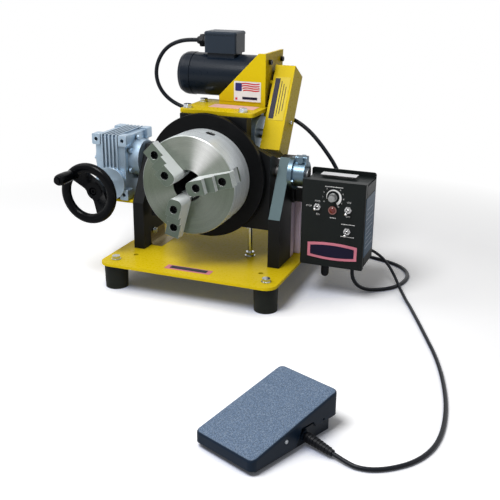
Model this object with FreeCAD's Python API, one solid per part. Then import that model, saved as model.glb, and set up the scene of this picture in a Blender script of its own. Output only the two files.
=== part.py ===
"""Tilting welding positioner: a three-jaw chuck on a power-driven spindle, carried by a head that tilts
between two uprights.

Frame: millimetres, +X to the operator's right, +Y away from the operator, +Z up.  The origin is the centre
of the bench-bolt pattern on the underside of the base plate.  The bench top that the feet stand on is at
Z = -FOOT_H.
"""
import FreeCAD, Part
import math
import os

os.makedirs("parts", exist_ok=True)

# ---------------------------------------------------------------- driving dimensions
PLATE_W, PLATE_T, PLATE_R = 396.0, 6.0, 25.0       # square base plate, thickness, corner radius
FOOT_X, FOOT_Y, FOOT_R, FOOT_H = 171.0, 165.0, 25.5, 54.0
BENCH_X, BENCH_Y, BENCH_R = 145.0, 124.0, 5.5      # bench-bolt holes
UPRIGHT_IN, UPRIGHT_OUT = 145.0, 170.0             # the 25 mm plates stand between these |X|
TILT_Y, TILT_Z = -16.0, 196.0                      # tilt axis, along X
TRUNNION_R, FIT = 12.5, 0.05                       # trunnion shaft and its running clearance
SPINDLE_Z, SPINDLE_R, SPINDLE_BORE = 186.0, 25.0, 15.0
CHUCK_R, CHUCK_FRONT, CHUCK_BACK = 101.5, -163.0, -97.0
CHUCK_BORE = 32.0
DISC_R, DISC_FRONT, DISC_BACK = 131.0, -80.0, -68.0
JAW_ANGLES = (15.0, 135.0, 255.0)                  # from +X, seen from the front
JAW_W, JAW_IN, JAW_OUT = 30.0, 19.0, 107.0
JAW_LEVELS = (-209.0, -197.0, -186.0)               # the three steps of a top jaw, inner to outer
WORM_Y, WORM_Z = 26.0, 264.0                       # axis of the spindle drive's worm, along X
MOTOR_Y, MOTOR_Z, MOTOR_R = 88.0, 374.0, 46.0      # motor axis, along X
TOP_Z = 311.0                                      # underside of the top plate
TILT_BOX_X, TILT_WORM_Z = -228.0, 146.0            # tilt gearbox centre and its worm's height
WHEEL_R, WHEEL_FACE, RIM_PATH = 65.5, -177.0, 55.0    # handwheel: outer radius, front and centre circle of its rim
BOX_X0, BOX_X1 = 209.0, 341.0                      # control box
BOX_Y0, BOX_Y1 = -66.0, 25.0
BOX_Z0, BOX_Z1 = 19.0, 204.0
PEDAL_X, PEDAL_Y, PEDAL_YAW = 333.6, -601.1, 66.9
PEDAL_L, PEDAL_W = 188.0, 117.0
FLOOR = -FOOT_H
STOP_X, STOP_Y, STOP_TOP = 86.0, -34.0, 78.9          # stop that the level head rests on
GRIP_PATH, GRIP_ANGLE = 51.0, 130.0                  # where the grip stands on the handwheel

X, Y, Z = FreeCAD.Vector(1, 0, 0), FreeCAD.Vector(0, 1, 0), FreeCAD.Vector(0, 0, 1)


# ---------------------------------------------------------------- shared shapes
def vec(x, y, z):
    return FreeCAD.Vector(x, y, z)


def block(x0, x1, y0, y1, z0, z1):
    return Part.makeBox(x1 - x0, y1 - y0, z1 - z0, vec(x0, y0, z0))


def rod(radius, start, axis, length):
    return Part.makeCylinder(radius, length, start, axis)


def ring(outer, inner, start, axis, length):
    return rod(outer, start, axis, length).cut(rod(inner, start - axis * 1, axis, length + 2))


def prism(points, direction):
    """A closed outline of 3-D points pushed along a vector."""
    return Part.Face(Part.makePolygon(list(points) + [points[0]])).extrude(direction)


def rounded(shape, radius, axis):
    """Round the straight edges of a shape that run along an axis."""
    edges = [e for e in shape.Edges
             if isinstance(e.Curve, Part.Line) and e.Curve.Direction.cross(axis).Length < 1e-6]
    return shape.makeFillet(radius, edges)


def hexagon(across, start, axis, height):
    """A hex head or nut, with its corners turned off at the outer end."""
    side = X if abs(axis.x) < 0.5 else Y
    other = axis.cross(side)
    corner = across / 2 / math.cos(math.pi / 6)
    points = [start + side * (corner * math.cos(k * math.pi / 3)) + other * (corner * math.sin(k * math.pi / 3))
              for k in range(6)]
    dome = Part.makeCone(corner + height * 1.2, corner * 0.93, height, start, axis)
    return prism(points, axis * height).common(dome)


def hex_bolt(diameter, start, axis, shank):
    """Washer and hex head standing on a face at start, with the shank going back into it."""
    washer = rod(diameter, start, axis, diameter * 0.18)
    head = hexagon(diameter * 1.6, start + axis * (diameter * 0.18), axis, diameter * 0.62)
    return washer.fuse(head).fuse(rod(diameter / 2, start - axis * shank, axis, shank + 1)).removeSplitter()


def cap_screw(diameter, start, axis, shank):
    """Socket cap screw whose head stands on a face at start."""
    head = rod(diameter * 0.75, start, axis, diameter * 0.9)
    socket = hexagon(diameter * 0.8, start + axis * (diameter * 0.45), axis, diameter * 0.6)
    return head.cut(socket).fuse(rod(diameter / 2, start - axis * shank, axis, shank + 0.5)).removeSplitter()


def toothed_wheel(outer, root, teeth, start, axis, width, bore):
    """A wheel along X or Y with straight-flanked teeth."""
    side = Z
    other = axis.cross(side)
    step = 2 * math.pi / teeth
    points = []
    for k in range(teeth):
        for radius, shift in ((root, -0.36), (outer, -0.17), (outer, 0.17), (root, 0.36)):
            angle = (k + shift) * step
            points.append(start + side * (radius * math.cos(angle)) + other * (radius * math.sin(angle)))
    return prism(points, axis * width).cut(rod(bore, start - axis, axis, width + 2))


def ridged_worm(outer, root, pitch, start, axis, turns):
    """The toothed stretch of a worm, as a row of ridges round its shaft."""
    other = Z
    points = [start]
    for k in range(turns):
        base = start + axis * (k * pitch)
        for along, radius in ((0, root), (0.18, outer), (0.5, outer), (0.68, root)):
            points.append(base + axis * (along * pitch) + other * radius)
    points.append(start + axis * (turns * pitch) + other * root)
    points.append(start + axis * (turns * pitch))
    face = Part.Face(Part.makePolygon(points + [points[0]]))
    return face.revolve(start, axis, 360)


def group(*solids):
    return Part.makeCompound(list(solids))


def save(name, shape):
    for solid in shape.Solids:
        if not solid.isValid() or solid.Volume <= 0:
            raise RuntimeError(name + " holds a solid that is not valid")
    if len(shape.Solids) == 1:
        shape = shape.Solids[0]
    shape.exportStep("parts/" + name + ".step")
    print(name, len(shape.Solids), round(shape.Volume / 1000, 1), "cm3")


def polar(angle, radius, y):
    """A point on a circle round the spindle, at an angle from +X seen from the front."""
    a = math.radians(angle)
    return vec(radius * math.cos(a), y, SPINDLE_Z + radius * math.sin(a))


# ---------------------------------------------------------------- base, feet and uprights
def make_base():
    half = PLATE_W / 2
    plate = rounded(block(-half, half, -half, half, 0, PLATE_T), PLATE_R, Z)
    for sx in (-1, 1):
        for sy in (-1, 1):
            plate = plate.cut(rod(BENCH_R, vec(sx * BENCH_X, sy * BENCH_Y, -1), Z, PLATE_T + 2))
            plate = plate.cut(rod(5.25, vec(sx * FOOT_X, sy * FOOT_Y, -1), Z, PLATE_T + 2))
    plate = plate.cut(rod(5.25, vec(STOP_X, STOP_Y, -1), Z, PLATE_T + 2))
    save("base_plate", plate)

    feet, bolts = [], []
    for sx in (-1, 1):
        for sy in (-1, 1):
            at = vec(sx * FOOT_X, sy * FOOT_Y, -FOOT_H)
            foot = Part.makeCone(FOOT_R - 1.5, FOOT_R, FOOT_H, at, Z)
            feet.append(foot.cut(rod(5.0, at + Z * 20, Z, FOOT_H)))
            bolts.append(hex_bolt(10.0, vec(at.x, at.y, PLATE_T), Z, PLATE_T + 26))
    save("feet", group(*feet))
    save("base_bolts", group(stop_bolt(), *bolts))


def stop_bolt():
    """Adjustable stop that the level head rests on, locked by nuts above and below the base plate."""
    at = vec(STOP_X, STOP_Y, -8)
    stud = rod(5.0, at, Z, STOP_TOP - 7 + 8)
    head = hexagon(17.0, vec(STOP_X, STOP_Y, STOP_TOP - 8), Z, 8)
    washer = rod(11.0, vec(STOP_X, STOP_Y, PLATE_T), Z, 2)
    nut = hexagon(17.0, vec(STOP_X, STOP_Y, PLATE_T + 2), Z, 8)
    under = hexagon(17.0, vec(STOP_X, STOP_Y, -7), Z, 7)
    return stud.fuse([head, washer, nut, under]).removeSplitter()


def make_uprights():
    """Thick plates, square below, with the front edge raked back to the trunnion."""
    low, knee, top = PLATE_T, 111.0, 228.0
    front, top_front, rear = -86.0, -18.0, 10.0
    for name, x0 in (("upright_left", -UPRIGHT_OUT), ("upright_right", UPRIGHT_IN)):
        outline = [vec(x0, front, low), vec(x0, rear, low), vec(x0, rear, top), vec(x0, top_front, top),
                   vec(x0, front, knee)]
        plate = prism(outline, X * (UPRIGHT_OUT - UPRIGHT_IN))
        plate = plate.cut(rod(TRUNNION_R + FIT, vec(x0 - 1, TILT_Y, TILT_Z), X, 30))
        save(name, plate)


def make_collar():
    """Flanged clamp collar outside the right upright, with its pinch bolt and flange bolts."""
    face = vec(UPRIGHT_OUT, TILT_Y, TILT_Z)
    collar = rod(27.0, face, X, 34).fuse(rod(34.0, face, X, 9))
    ears = block(face.x + 9, face.x + 34, TILT_Y - 9, TILT_Y + 9, TILT_Z + 20, TILT_Z + 38)
    collar = collar.fuse(rounded(ears, 3, X))
    collar = collar.cut(rod(TRUNNION_R + FIT, face - X, X, 60))
    collar = collar.cut(block(face.x + 9.5, face.x + 40, TILT_Y - 1.2, TILT_Y + 1.2, TILT_Z, TILT_Z + 60))
    bolt_at = vec(face.x + 22, TILT_Y - 9, TILT_Z + 31)
    collar = collar.cut(rod(4.0, bolt_at - Y, Y, 20))
    pinch = hexagon(13, bolt_at, -Y, 6).fuse(rod(4.0, bolt_at - Y, Y, 22))
    nut = hexagon(13, bolt_at + Y * 18, Y, 6).cut(rod(4.0, bolt_at + Y * 17, Y, 4.0))
    screws = []
    for angle in (200, 270, 340):
        a = math.radians(angle)
        at = face + vec(9, 30.4 * math.cos(a), 30.4 * math.sin(a))
        screws.append(hexagon(6.5, at, X, 4.5))
    save("clamp_collar", group(collar, pinch.fuse(nut).removeSplitter(), *screws))


# ---------------------------------------------------------------- tilt gearbox and handwheel
def make_tilt_gearbox():
    """Cast worm reducer: square body with ribs on the front, corner bosses and round flanges."""
    x0, x1 = TILT_BOX_X - 43, TILT_BOX_X + 41
    y0, y1, z0, z1 = TILT_Y - 60, TILT_Y + 60, TILT_Z - 86, TILT_Z + 58
    body = rounded(block(x0 + 6, x1 - 6, y0 + 5, y1 - 5, z0 + 4, z1 - 4), 8, X)
    for y in (y0, y1 - 22):
        for z in (z0, z1 - 24):
            for x in (x0, x1 - 20):
                body = body.fuse(rounded(block(x, x + 20, y, y + 22, z, z + 24), 3, Y))
    for k in range(5):
        x = TILT_BOX_X - 19 + k * 9
        body = body.fuse(block(x - 1.8, x + 1.8, y0, y1, TILT_WORM_Z + 30, z1))
    worm_front = vec(TILT_BOX_X, y0 - 6, TILT_WORM_Z)
    body = body.fuse(rod(36, worm_front, Y, 14))
    body = body.fuse(rod(40, vec(x1 - 8, TILT_Y, TILT_Z), X, -UPRIGHT_OUT - x1 + 8))
    for angle in range(30, 390, 60):
        a = math.radians(angle)
        hub = vec(x1 - 4, TILT_Y + 44 * math.cos(a), TILT_Z + 44 * math.sin(a))
        body = body.fuse(rod(6, hub, X, 5))
    body = body.cut(rod(39, vec(x0 - 1, TILT_Y, TILT_Z), X, 62))
    body = body.cut(rod(TRUNNION_R + FIT, vec(x0, TILT_Y, TILT_Z), X, 120))
    body = body.cut(rod(14, vec(TILT_BOX_X, y0 + 20, TILT_WORM_Z), Y, 82))
    body = body.cut(rod(8 + FIT, vec(TILT_BOX_X, y0 - 20, TILT_WORM_Z), Y, 134))
    for x in (x0 + 10, x1 - 10):
        for z in (z0 + 12, z1 - 12):
            body = body.cut(rod(4.2, vec(x, y0 - 1, z), Y, 12))
    save("tilt_gearbox", body)

    cover = rod(46, vec(x0 - 1, TILT_Y, TILT_Z), X, 7.0).fuse(rod(38.9, vec(x0 + 5, TILT_Y, TILT_Z), X, 9))
    cover = cover.cut(rod(TRUNNION_R + 1, vec(x0 + 4, TILT_Y, TILT_Z), X, 20))
    cover = cover.cut(ring(34, 24, vec(x0 - 2, TILT_Y, TILT_Z), X, 3.5))
    screws = []
    for angle in range(0, 360, 60):
        a = math.radians(angle)
        at = vec(x0 - 1, TILT_Y + 40 * math.cos(a), TILT_Z + 40 * math.sin(a))
        screws.append(cap_screw(5, at, -X, 0))
    save("tilt_gearbox_cover", group(cover, *screws))
    save("gearbox_shelf", rounded(block(-278, -UPRIGHT_OUT, -70, 36, z0 - 7, z0), 2, X))


def make_handwheel():
    """Dished handwheel on the worm shaft: thick rim, coned web with two windows, revolving grip."""
    recess, seat = WHEEL_FACE + 33, WHEEL_FACE + 35
    shaft = rod(8, vec(TILT_BOX_X, seat, TILT_WORM_Z), Y, TILT_Y + 50 - seat)
    thread_at = vec(TILT_BOX_X, TILT_Y - 30, TILT_WORM_Z)
    worm = shaft.fuse(ridged_worm(11.5, 9, 7.5, thread_at, Y, 8)).removeSplitter()
    save("tilt_worm", worm)

    centre = vec(TILT_BOX_X, WHEEL_FACE, TILT_WORM_Z)
    rim_centre = centre + X * RIM_PATH + Y * 9
    profile = Part.Wire(Part.Ellipse(rim_centre, WHEEL_R - RIM_PATH, 9.0).toShape())
    rim = Part.Face(profile).revolve(centre, Y, 360)
    dish = [(0, 24), (20, 24), (RIM_PATH - 6, 4), (RIM_PATH - 6, 12), (22, 33), (19, 58), (0, 58)]
    web = [centre + X * r + Y * y for r, y in dish]
    web = Part.Face(Part.makePolygon(web + [web[0]])).revolve(centre, Y, 360)
    for low, high in ((-100, -12), (25.5, 100)):
        window = rod(RIM_PATH - 8, centre, Y, 34).common(block(-100, 100, 0, 40, low, high).translated(centre))
        window.rotate(centre, Y, 51)
        web = web.cut(window)
    wheel = rim.fuse(web).removeSplitter()
    wheel = wheel.cut(rod(8, centre + Y * 35, Y, 40)).cut(rod(4.2, centre + Y * 20, Y, 16))
    wheel = wheel.cut(rod(9, centre + Y * 23, Y, 10))
    angle = math.radians(GRIP_ANGLE)
    grip_at = centre + X * (GRIP_PATH * math.cos(angle)) + Z * (GRIP_PATH * math.sin(angle))
    wheel = wheel.fuse(rod(11, grip_at - Y * 1, Y, 12)).removeSplitter()
    hub_screw = cap_screw(8, vec(centre.x, recess, centre.z), -Y, 0)
    hub_screw = hub_screw.fuse(rod(4, vec(centre.x, recess, centre.z), Y, 2)).removeSplitter()
    spindle = rod(4, grip_at - Y * 56, Y, 55).fuse(rod(6.5, grip_at - Y * 58, Y, 3)).removeSplitter()
    save("handwheel", group(wheel, hub_screw, spindle))

    barrel = [(4.1, -2.0), (10.0, -2.0), (10.8, -6.0), (12.2, -24.0), (12.4, -42.0), (11.4, -50.0), (9.0, -54.0),
              (7.5, -54.6), (4.1, -54.6)]
    outline = [grip_at + X * r + Y * y for r, y in barrel]
    grip = Part.Face(Part.makePolygon(outline + [outline[0]])).revolve(grip_at, Y, 360)
    save("handwheel_grip", grip)


# ---------------------------------------------------------------- tilting head
def make_head_frame():
    """Welded frame behind the face disc: cross-shaped front plate, cheeks for the trunnions, stop ledge."""
    y0, y1 = -62.0, -46.0
    outline = [(-138, 79), (138, 79), (138, 236), (86, 262), (86, TOP_Z), (-64, TOP_Z), (-64, 262), (-138, 236)]
    plate = prism([vec(x, y0, z) for x, z in outline], Y * (y1 - y0))
    for sx in (-1, 1):
        x0, x1 = (126, 138) if sx > 0 else (-138, -126)
        cheek = [vec(x0, y1 - 1, 132), vec(x0, 12, 168), vec(x0, 12, 214), vec(x0, y1 - 1, 236)]
        plate = plate.fuse(prism(cheek, X * (x1 - x0)))
        plate = plate.fuse(rod(24, vec(x0 - (8 if sx > 0 else 0), TILT_Y, TILT_Z), X, 20))
    plate = plate.fuse(block(-110, 110, y1 - 1, y1 + 26, 79, 91))
    for x in (-64, 76):
        plate = plate.fuse(block(x, x + 10, y1 - 1, -35, 240, TOP_Z))
    plate = plate.cut(rod(SPINDLE_R + 4, vec(0, y0 - 1, SPINDLE_Z), Y, 40))
    plate = plate.cut(rod(TRUNNION_R, vec(-150, TILT_Y, TILT_Z), X, 300)).removeSplitter()
    save("head_frame", plate)

    left = rod(TRUNNION_R, vec(-264, TILT_Y, TILT_Z), X, 264 - 112)
    right = rod(TRUNNION_R, vec(112, TILT_Y, TILT_Z), X, 208 - 112)
    save("trunnion_shafts", group(left, right))
    wheel = toothed_wheel(37.5, 32.5, 40, vec(TILT_BOX_X - 12, TILT_Y, TILT_Z), X, 24, TRUNNION_R)
    hub = ring(20, TRUNNION_R, vec(TILT_BOX_X - 26, TILT_Y, TILT_Z), X, 40)
    save("tilt_worm_wheel", wheel.fuse(hub).removeSplitter())


def make_spindle_gearbox():
    """Larger worm reducer hung under the top plate; its hollow output carries the chuck spindle."""
    x0, x1, y0, y1, z0 = -72.0, 72.0, -34.0, 86.0, 100.0
    body = rounded(block(x0, x1, y0, y1, z0, TOP_Z), 14, Y)
    body = body.fuse(rod(55, vec(0, -46, SPINDLE_Z), Y, 14))
    body = body.fuse(rod(40, vec(x1 - 10, WORM_Y, WORM_Z), X, 24))
    for k in range(5):
        z = 128 + k * 12
        body = body.fuse(block(x0 - 5, x0 + 2, y0 + 8, y1 - 8, z, z + 4))
        body = body.fuse(block(x1 - 2, x1 + 5, y0 + 8, y1 - 8, z, z + 4))
    body = body.cut(rod(63, vec(0, -4, SPINDLE_Z), Y, 100))
    body = body.cut(rod(34, vec(0, -24, SPINDLE_Z), Y, 40))
    body = body.cut(rod(SPINDLE_R + 1, vec(0, -60, SPINDLE_Z), Y, 60))
    body = body.cut(rod(18, vec(-56, WORM_Y, WORM_Z), X, 112))
    body = body.cut(rod(10 + FIT, vec(40, WORM_Y, WORM_Z), X, 60))
    save("spindle_gearbox", body)

    cover = rod(72, vec(0, y1, SPINDLE_Z), Y, 9).fuse(rod(62.9, vec(0, y1 - 12, SPINDLE_Z), Y, 13))
    cover = cover.cut(rod(34, vec(0, y1 - 13, SPINDLE_Z), Y, 16)).cut(rod(SPINDLE_R + 1, vec(0, 60, SPINDLE_Z), Y, 60))
    screws = []
    for angle in range(30, 390, 60):
        screws.append(cap_screw(8, polar(angle, 66, y1 + 9), Y, 0))
    save("spindle_gearbox_cover", group(cover, *screws))
    front = ring(34, SPINDLE_R + FIT, vec(0, -24, SPINDLE_Z), Y, 18)
    back = ring(34, SPINDLE_R + FIT, vec(0, 75, SPINDLE_Z), Y, 14)
    save("spindle_bearings", group(front, back))


def make_top():
    plate = rounded(block(-70, 96, -55, 88, TOP_Z, TOP_Z + 8), 10, Z)
    save("top_plate", plate)

    foot_z = TOP_Z + 8
    foot = block(-14, 86, 30, 88, foot_z, foot_z + 8)
    gusset = prism([vec(-14, 29, foot_z + 8), vec(90, 29, foot_z + 8), vec(90, 29, 430), vec(76, 29, 430),
                    vec(-14, 29, foot_z + 19)], Y * 5)
    side = [vec(86, 29, foot_z), vec(86, 134, foot_z + 40), vec(86, 140, 430), vec(86, 29, 430)]
    bracket = prism(side, X * 6).fuse([foot, gusset]).removeSplitter()
    bracket = bracket.cut(rod(18, vec(80, MOTOR_Y, MOTOR_Z), X, 20))
    bolts = [hex_bolt(10, vec(x, y, foot_z), Z, 0) for x, y in ((-58, -36), (-56, 44), (69, -40))]
    for sy in (-1, 1):
        for sz in (-1, 1):
            at = vec(92, MOTOR_Y + sy * 37, MOTOR_Z + sz * 37)
            bracket = bracket.cut(rod(3.6, at - X * 10, X, 20))
            bolts.append(cap_screw(7.0, at, X, 6))
    save("motor_bracket", bracket)
    save("head_bolts", group(guard_screw(), *bolts))


def make_motor():
    axis_point = vec(0, MOTOR_Y, MOTOR_Z)
    shell = rod(MOTOR_R, axis_point - X * 92, X, 168)
    square = rounded(block(76, 86, MOTOR_Y - 45.5, MOTOR_Y + 45.5, MOTOR_Z - 45.5, MOTOR_Z + 45.5), 14, X)
    body = shell.fuse(square).removeSplitter()
    saddle = block(-56, 6, MOTOR_Y - 24, MOTOR_Y + 24, MOTOR_Z + 30, MOTOR_Z + 49)
    body = body.fuse(saddle).removeSplitter()
    body = body.cut(rod(12, vec(70, MOTOR_Y, MOTOR_Z), X, 20))
    save("motor_body", body)
    r = MOTOR_R + 1.0
    profile = [(0, -125), (r - 13, -125), (r - 5, -121), (r - 1, -113), (r, -106), (r, -93), (r - 4, -92.0), (0, -92.0)]
    outline = [axis_point + X * x + Z * radius for radius, x in profile]
    bell = Part.Face(Part.makePolygon(outline + [outline[0]])).revolve(axis_point, X, 360)
    save("motor_end_bell", bell)

    box_z = MOTOR_Z + 49
    lower = rounded(block(-62, 12, 59, 117, box_z, box_z + 38), 5, Z)
    lid = rounded(block(-63, 13, 58, 118, box_z + 38, box_z + 45), 6, Z)
    lid = lid.makeChamfer(3.0, [e for e in lid.Edges if e.BoundBox.ZMin > box_z + 44.9])
    save("junction_box", group(lower, lid))
    gland_at = vec(-62, MOTOR_Y, MOTOR_Z + 72)
    gland = hexagon(28, gland_at, -X, 8).fuse(rod(11, gland_at - X * 7, -X, 4))
    gland = gland.fuse([hexagon(26, gland_at - X * 10, -X, 9), Part.makeCone(10, 7.5, 9, gland_at - X * 18, -X)])
    gland = gland.removeSplitter()
    save("motor_gland", gland)


GUARD_LEAN, GUARD_Y, GUARD_Z = 29.8, -20.0, 242.0     # the guard's lean and its lower front corner


def guard_screw():
    """The screw in the outer face of the chain guard."""
    a = math.radians(GUARD_LEAN)
    up, back = vec(0, math.sin(a), math.cos(a)), vec(0, math.cos(a), -math.sin(a))
    return cap_screw(5, vec(143, GUARD_Y, GUARD_Z) + up * 72 + back * 30, X, 0)


def make_chain_drive():
    """Sprockets and chain inside a leaning sheet-metal guard fixed to the motor bracket."""
    lower = vec(110, WORM_Y, WORM_Z)
    upper = vec(110, MOTOR_Y, MOTOR_Z)
    pitch_small, pitch_large = 14.0, 21.5
    shaft = rod(10, vec(-50, WORM_Y, WORM_Z), X, 172)
    worm = ridged_worm(15.5, 12, 10, vec(-35, WORM_Y, WORM_Z), X, 7)
    sprocket = toothed_wheel(pitch_large + 2.8, pitch_large - 2.9, 14, lower, X, 4.3, 10)
    hub = ring(17, 10, lower + X * 4.3, X, 7)
    save("spindle_worm", shaft.fuse(worm).removeSplitter())
    save("large_sprocket", sprocket.fuse(hub).removeSplitter())
    small = toothed_wheel(pitch_small + 2.4, pitch_small - 2.9, 9, upper, X, 4.3, 5)
    small = small.fuse(rod(8, upper - X * 34, X, 46)).removeSplitter()
    save("motor_sprocket", small)

    along = (upper - lower)
    length = along.Length
    along.normalize()
    across = X.cross(along)
    lean = math.asin((pitch_large - pitch_small) / length)

    def loop(extra, x, width):
        """A belt-shaped outline round both sprockets."""
        points = []
        for centre, radius, first, last in ((lower, pitch_large + extra, 90 + math.degrees(lean), 270 - math.degrees(lean)),
                                            (upper, pitch_small + extra, -90 - math.degrees(lean), 90 + math.degrees(lean))):
            arc = []
            for k in range(9):
                a = math.radians(first + (last - first) * k / 8)
                arc.append(vec(x, centre.y, centre.z) + along * (radius * math.cos(a)) + across * (radius * math.sin(a)))
            points += arc
        return prism(points, X * width)

    plates = [loop(2.7, x, 1.2).cut(loop(-4.0, x - 1, 4)) for x in (108.4, 114.7)]
    rollers = []
    for side in (-1, 1):
        first = lower + across * (side * (pitch_large + 0.3))
        last = upper + across * (side * (pitch_small + 0.3))
        for k in range(3, 10):
            at = first + (last - first) * (k / 12.0)
            rollers.append(rod(2.5, vec(109.6, at.y, at.z), X, 5.1))
    save("drive_chain", group(*plates, *rollers))

    start = vec(99, GUARD_Y, GUARD_Z)
    wide, deep, tall, sheet = 44.0, 58.5, 187.0, 2.0
    outer = Part.makeBox(wide, deep, tall)
    inner = Part.makeBox(wide - 2 * sheet, deep - 2 * sheet, tall - 2 * sheet, vec(sheet, sheet, sheet))
    guard = outer.cut(inner)
    guard.rotate(vec(0, 0, 0), X, -GUARD_LEAN)
    guard.translate(start)
    guard = guard.cut(rod(22, vec(90, WORM_Y, WORM_Z), X, 14))
    guard = guard.cut(rod(19, vec(90, MOTOR_Y, MOTOR_Z), X, 14))
    up = vec(0, math.sin(math.radians(GUARD_LEAN)), math.cos(math.radians(GUARD_LEAN)))
    back = vec(0, up.z, -up.y)
    spacers = []
    for s in (78, 150):
        at = vec(92, start.y, start.z) + up * s + back * 8
        spacers.append(rod(5, at, X, 7.0))
    guard = guard.fuse(spacers).removeSplitter()
    save("chain_guard", guard)


# ---------------------------------------------------------------- spindle and chuck
def make_spindle():
    back = 108.0
    tube = rod(SPINDLE_R, vec(0, DISC_BACK, SPINDLE_Z), Y, back - DISC_BACK)
    flange = rod(46, vec(0, DISC_BACK, SPINDLE_Z), Y, 4.5)
    tube = tube.fuse(flange).cut(rod(SPINDLE_BORE, vec(0, DISC_BACK - 1, SPINDLE_Z), Y, 200)).removeSplitter()
    save("spindle", tube)
    wheel = toothed_wheel(60.0, 53.0, 30, vec(0, 11, SPINDLE_Z), Y, 30, SPINDLE_R)
    save("spindle_worm_wheel", wheel)
    disc = ring(DISC_R, 20, vec(0, DISC_FRONT, SPINDLE_Z), Y, DISC_BACK - DISC_FRONT)
    disc = disc.makeChamfer(1.0, [e for e in disc.Edges if abs(e.BoundBox.XLength - 2 * DISC_R) < 0.1])
    save("face_disc", disc)
    plate = ring(CHUCK_R - 1.0, 22, vec(0, CHUCK_BACK, SPINDLE_Z), Y, DISC_FRONT - CHUCK_BACK)
    save("chuck_backplate", plate)


SCROLL_Y0, SCROLL_Y1, SCROLL_R = -128.0, -118.0, 84.0
PINION_Y = -108.0


def place_radially(shape, angle):
    """Turn a shape drawn along +X about the spindle and set it at the spindle's height."""
    shape.rotate(vec(0, 0, 0), Y, -angle)
    shape.translate(vec(0, 0, SPINDLE_Z))
    return shape


def make_chuck():
    """Body with three T-shaped guideways, the scroll under them and bevel pinions that turn it."""
    body = rod(CHUCK_R, vec(0, CHUCK_FRONT, 0), Y, CHUCK_BACK - CHUCK_FRONT)
    body = body.makeChamfer(1.5, [e for e in body.Edges if abs(e.BoundBox.XLength - 2 * CHUCK_R) < 0.1])
    body = body.cut(rod(CHUCK_BORE, vec(0, CHUCK_FRONT - 1, 0), Y, 90))
    body = body.cut(ring(SCROLL_R + 0.5, 37.5, vec(0, SCROLL_Y0 - 0.5, 0), Y, 40))
    body = body.cut(ring(SCROLL_R - 20, 37.5, vec(0, SCROLL_Y0 - 0.5, 0), Y, 12))
    for angle in JAW_ANGLES:
        slot = block(0, CHUCK_R + 10, CHUCK_FRONT - 2, SCROLL_Y0, -11.4, 11.4)
        slot = slot.fuse(block(0, CHUCK_R + 10, -150.4, SCROLL_Y0, -15.4, 15.4))
        slot.rotate(vec(0, 0, 0), Y, -angle)
        body = body.cut(slot)
        well = rod(10.0, vec(70, PINION_Y, 0), X, 40)
        well.rotate(vec(0, 0, 0), Y, -(angle + 60))
        body = body.cut(well)
    body.translate(vec(0, 0, SPINDLE_Z))
    save("chuck_body", body)

    scroll = ring(SCROLL_R, 38, vec(0, SCROLL_Y0 + 1.5, SPINDLE_Z), Y, 8.5)
    for k in range(5):
        radius = 43 + 8 * k
        scroll = scroll.fuse(ring(radius + 2, radius - 2, vec(0, SCROLL_Y0, SPINDLE_Z), Y, 2))
    save("scroll_plate", scroll)

    for number, angle in enumerate(JAW_ANGLES, 1):
        pinion = rod(9.9, vec(86, PINION_Y, 0), X, CHUCK_R - 87).fuse(Part.makeCone(5.0, 9.0, 14, vec(72, PINION_Y, 0), X))
        square = block(CHUCK_R - 10, CHUCK_R + 5, PINION_Y - 4.5, PINION_Y + 4.5, -4.5, 4.5)
        pinion = place_radially(pinion.cut(square).removeSplitter(), angle + 60)
        save("pinion_" + str(number), pinion)

        neck = block(JAW_IN + 3, CHUCK_R - 3, CHUCK_FRONT - 0.3, SCROLL_Y0 - 1, -11, 11)
        foot = block(JAW_IN + 3, CHUCK_R - 3, -150, SCROLL_Y0 - 1, -15, 15)
        inner, middle, outer = JAW_LEVELS
        levels = [(JAW_IN, inner), (56, inner), (56, middle), (74, middle), (74, outer), (JAW_OUT, outer),
                  (JAW_OUT, CHUCK_FRONT - 0.3), (JAW_IN, CHUCK_FRONT - 0.3)]
        top = prism([vec(x, y, -JAW_W / 2) for x, y in levels], Z * JAW_W)
        nose = [e for e in top.Edges if e.BoundBox.XMax < JAW_IN + 0.1 and e.BoundBox.ZLength < 0.1
                and e.BoundBox.YLength > 20]
        top = top.makeFillet(11.0, nose)
        for k in range(6):
            y = outer + 3 + 3.4 * k
            groove = [vec(JAW_OUT + 0.1, y - 1.3, -JAW_W), vec(JAW_OUT + 0.1, y + 1.3, -JAW_W), vec(JAW_OUT - 1.2, y, -JAW_W)]
            top = top.cut(prism(groove, Z * 2 * JAW_W))
        for x, y in ((40, inner), (87, outer)):
            top = top.cut(rod(8.5, vec(x, y + 15, 0), -Y, 25))
            top = top.fuse(rod(7.4, vec(x, y + 8, 0), Y, 8).cut(hexagon(8, vec(x, y + 12, 0), -Y, 6)))
        jaw = place_radially(top.fuse([neck, foot]).removeSplitter(), angle)
        save("jaw_" + str(number), jaw)


# ---------------------------------------------------------------- control box
KNOB, LAMP = (275.0, 168.0), (275.0, 141.0)
TOGGLES = ((243.0, 145.0), (307.0, 145.0), (307.0, 100.0))
TOGGLE_TILT = 12.0
PANEL_HOLES = [(x, z, 6.0) for x, z in TOGGLES + (LAMP,)] + [(KNOB[0], KNOB[1], 3.2)]
REAR_GLANDS = ((259.0, 134.0), (318.0, 29.0))         # motor cord and pedal cord
FUSE_X, MAINS_X, UNDER_Y = 252.0, 311.0, -20.0


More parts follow.
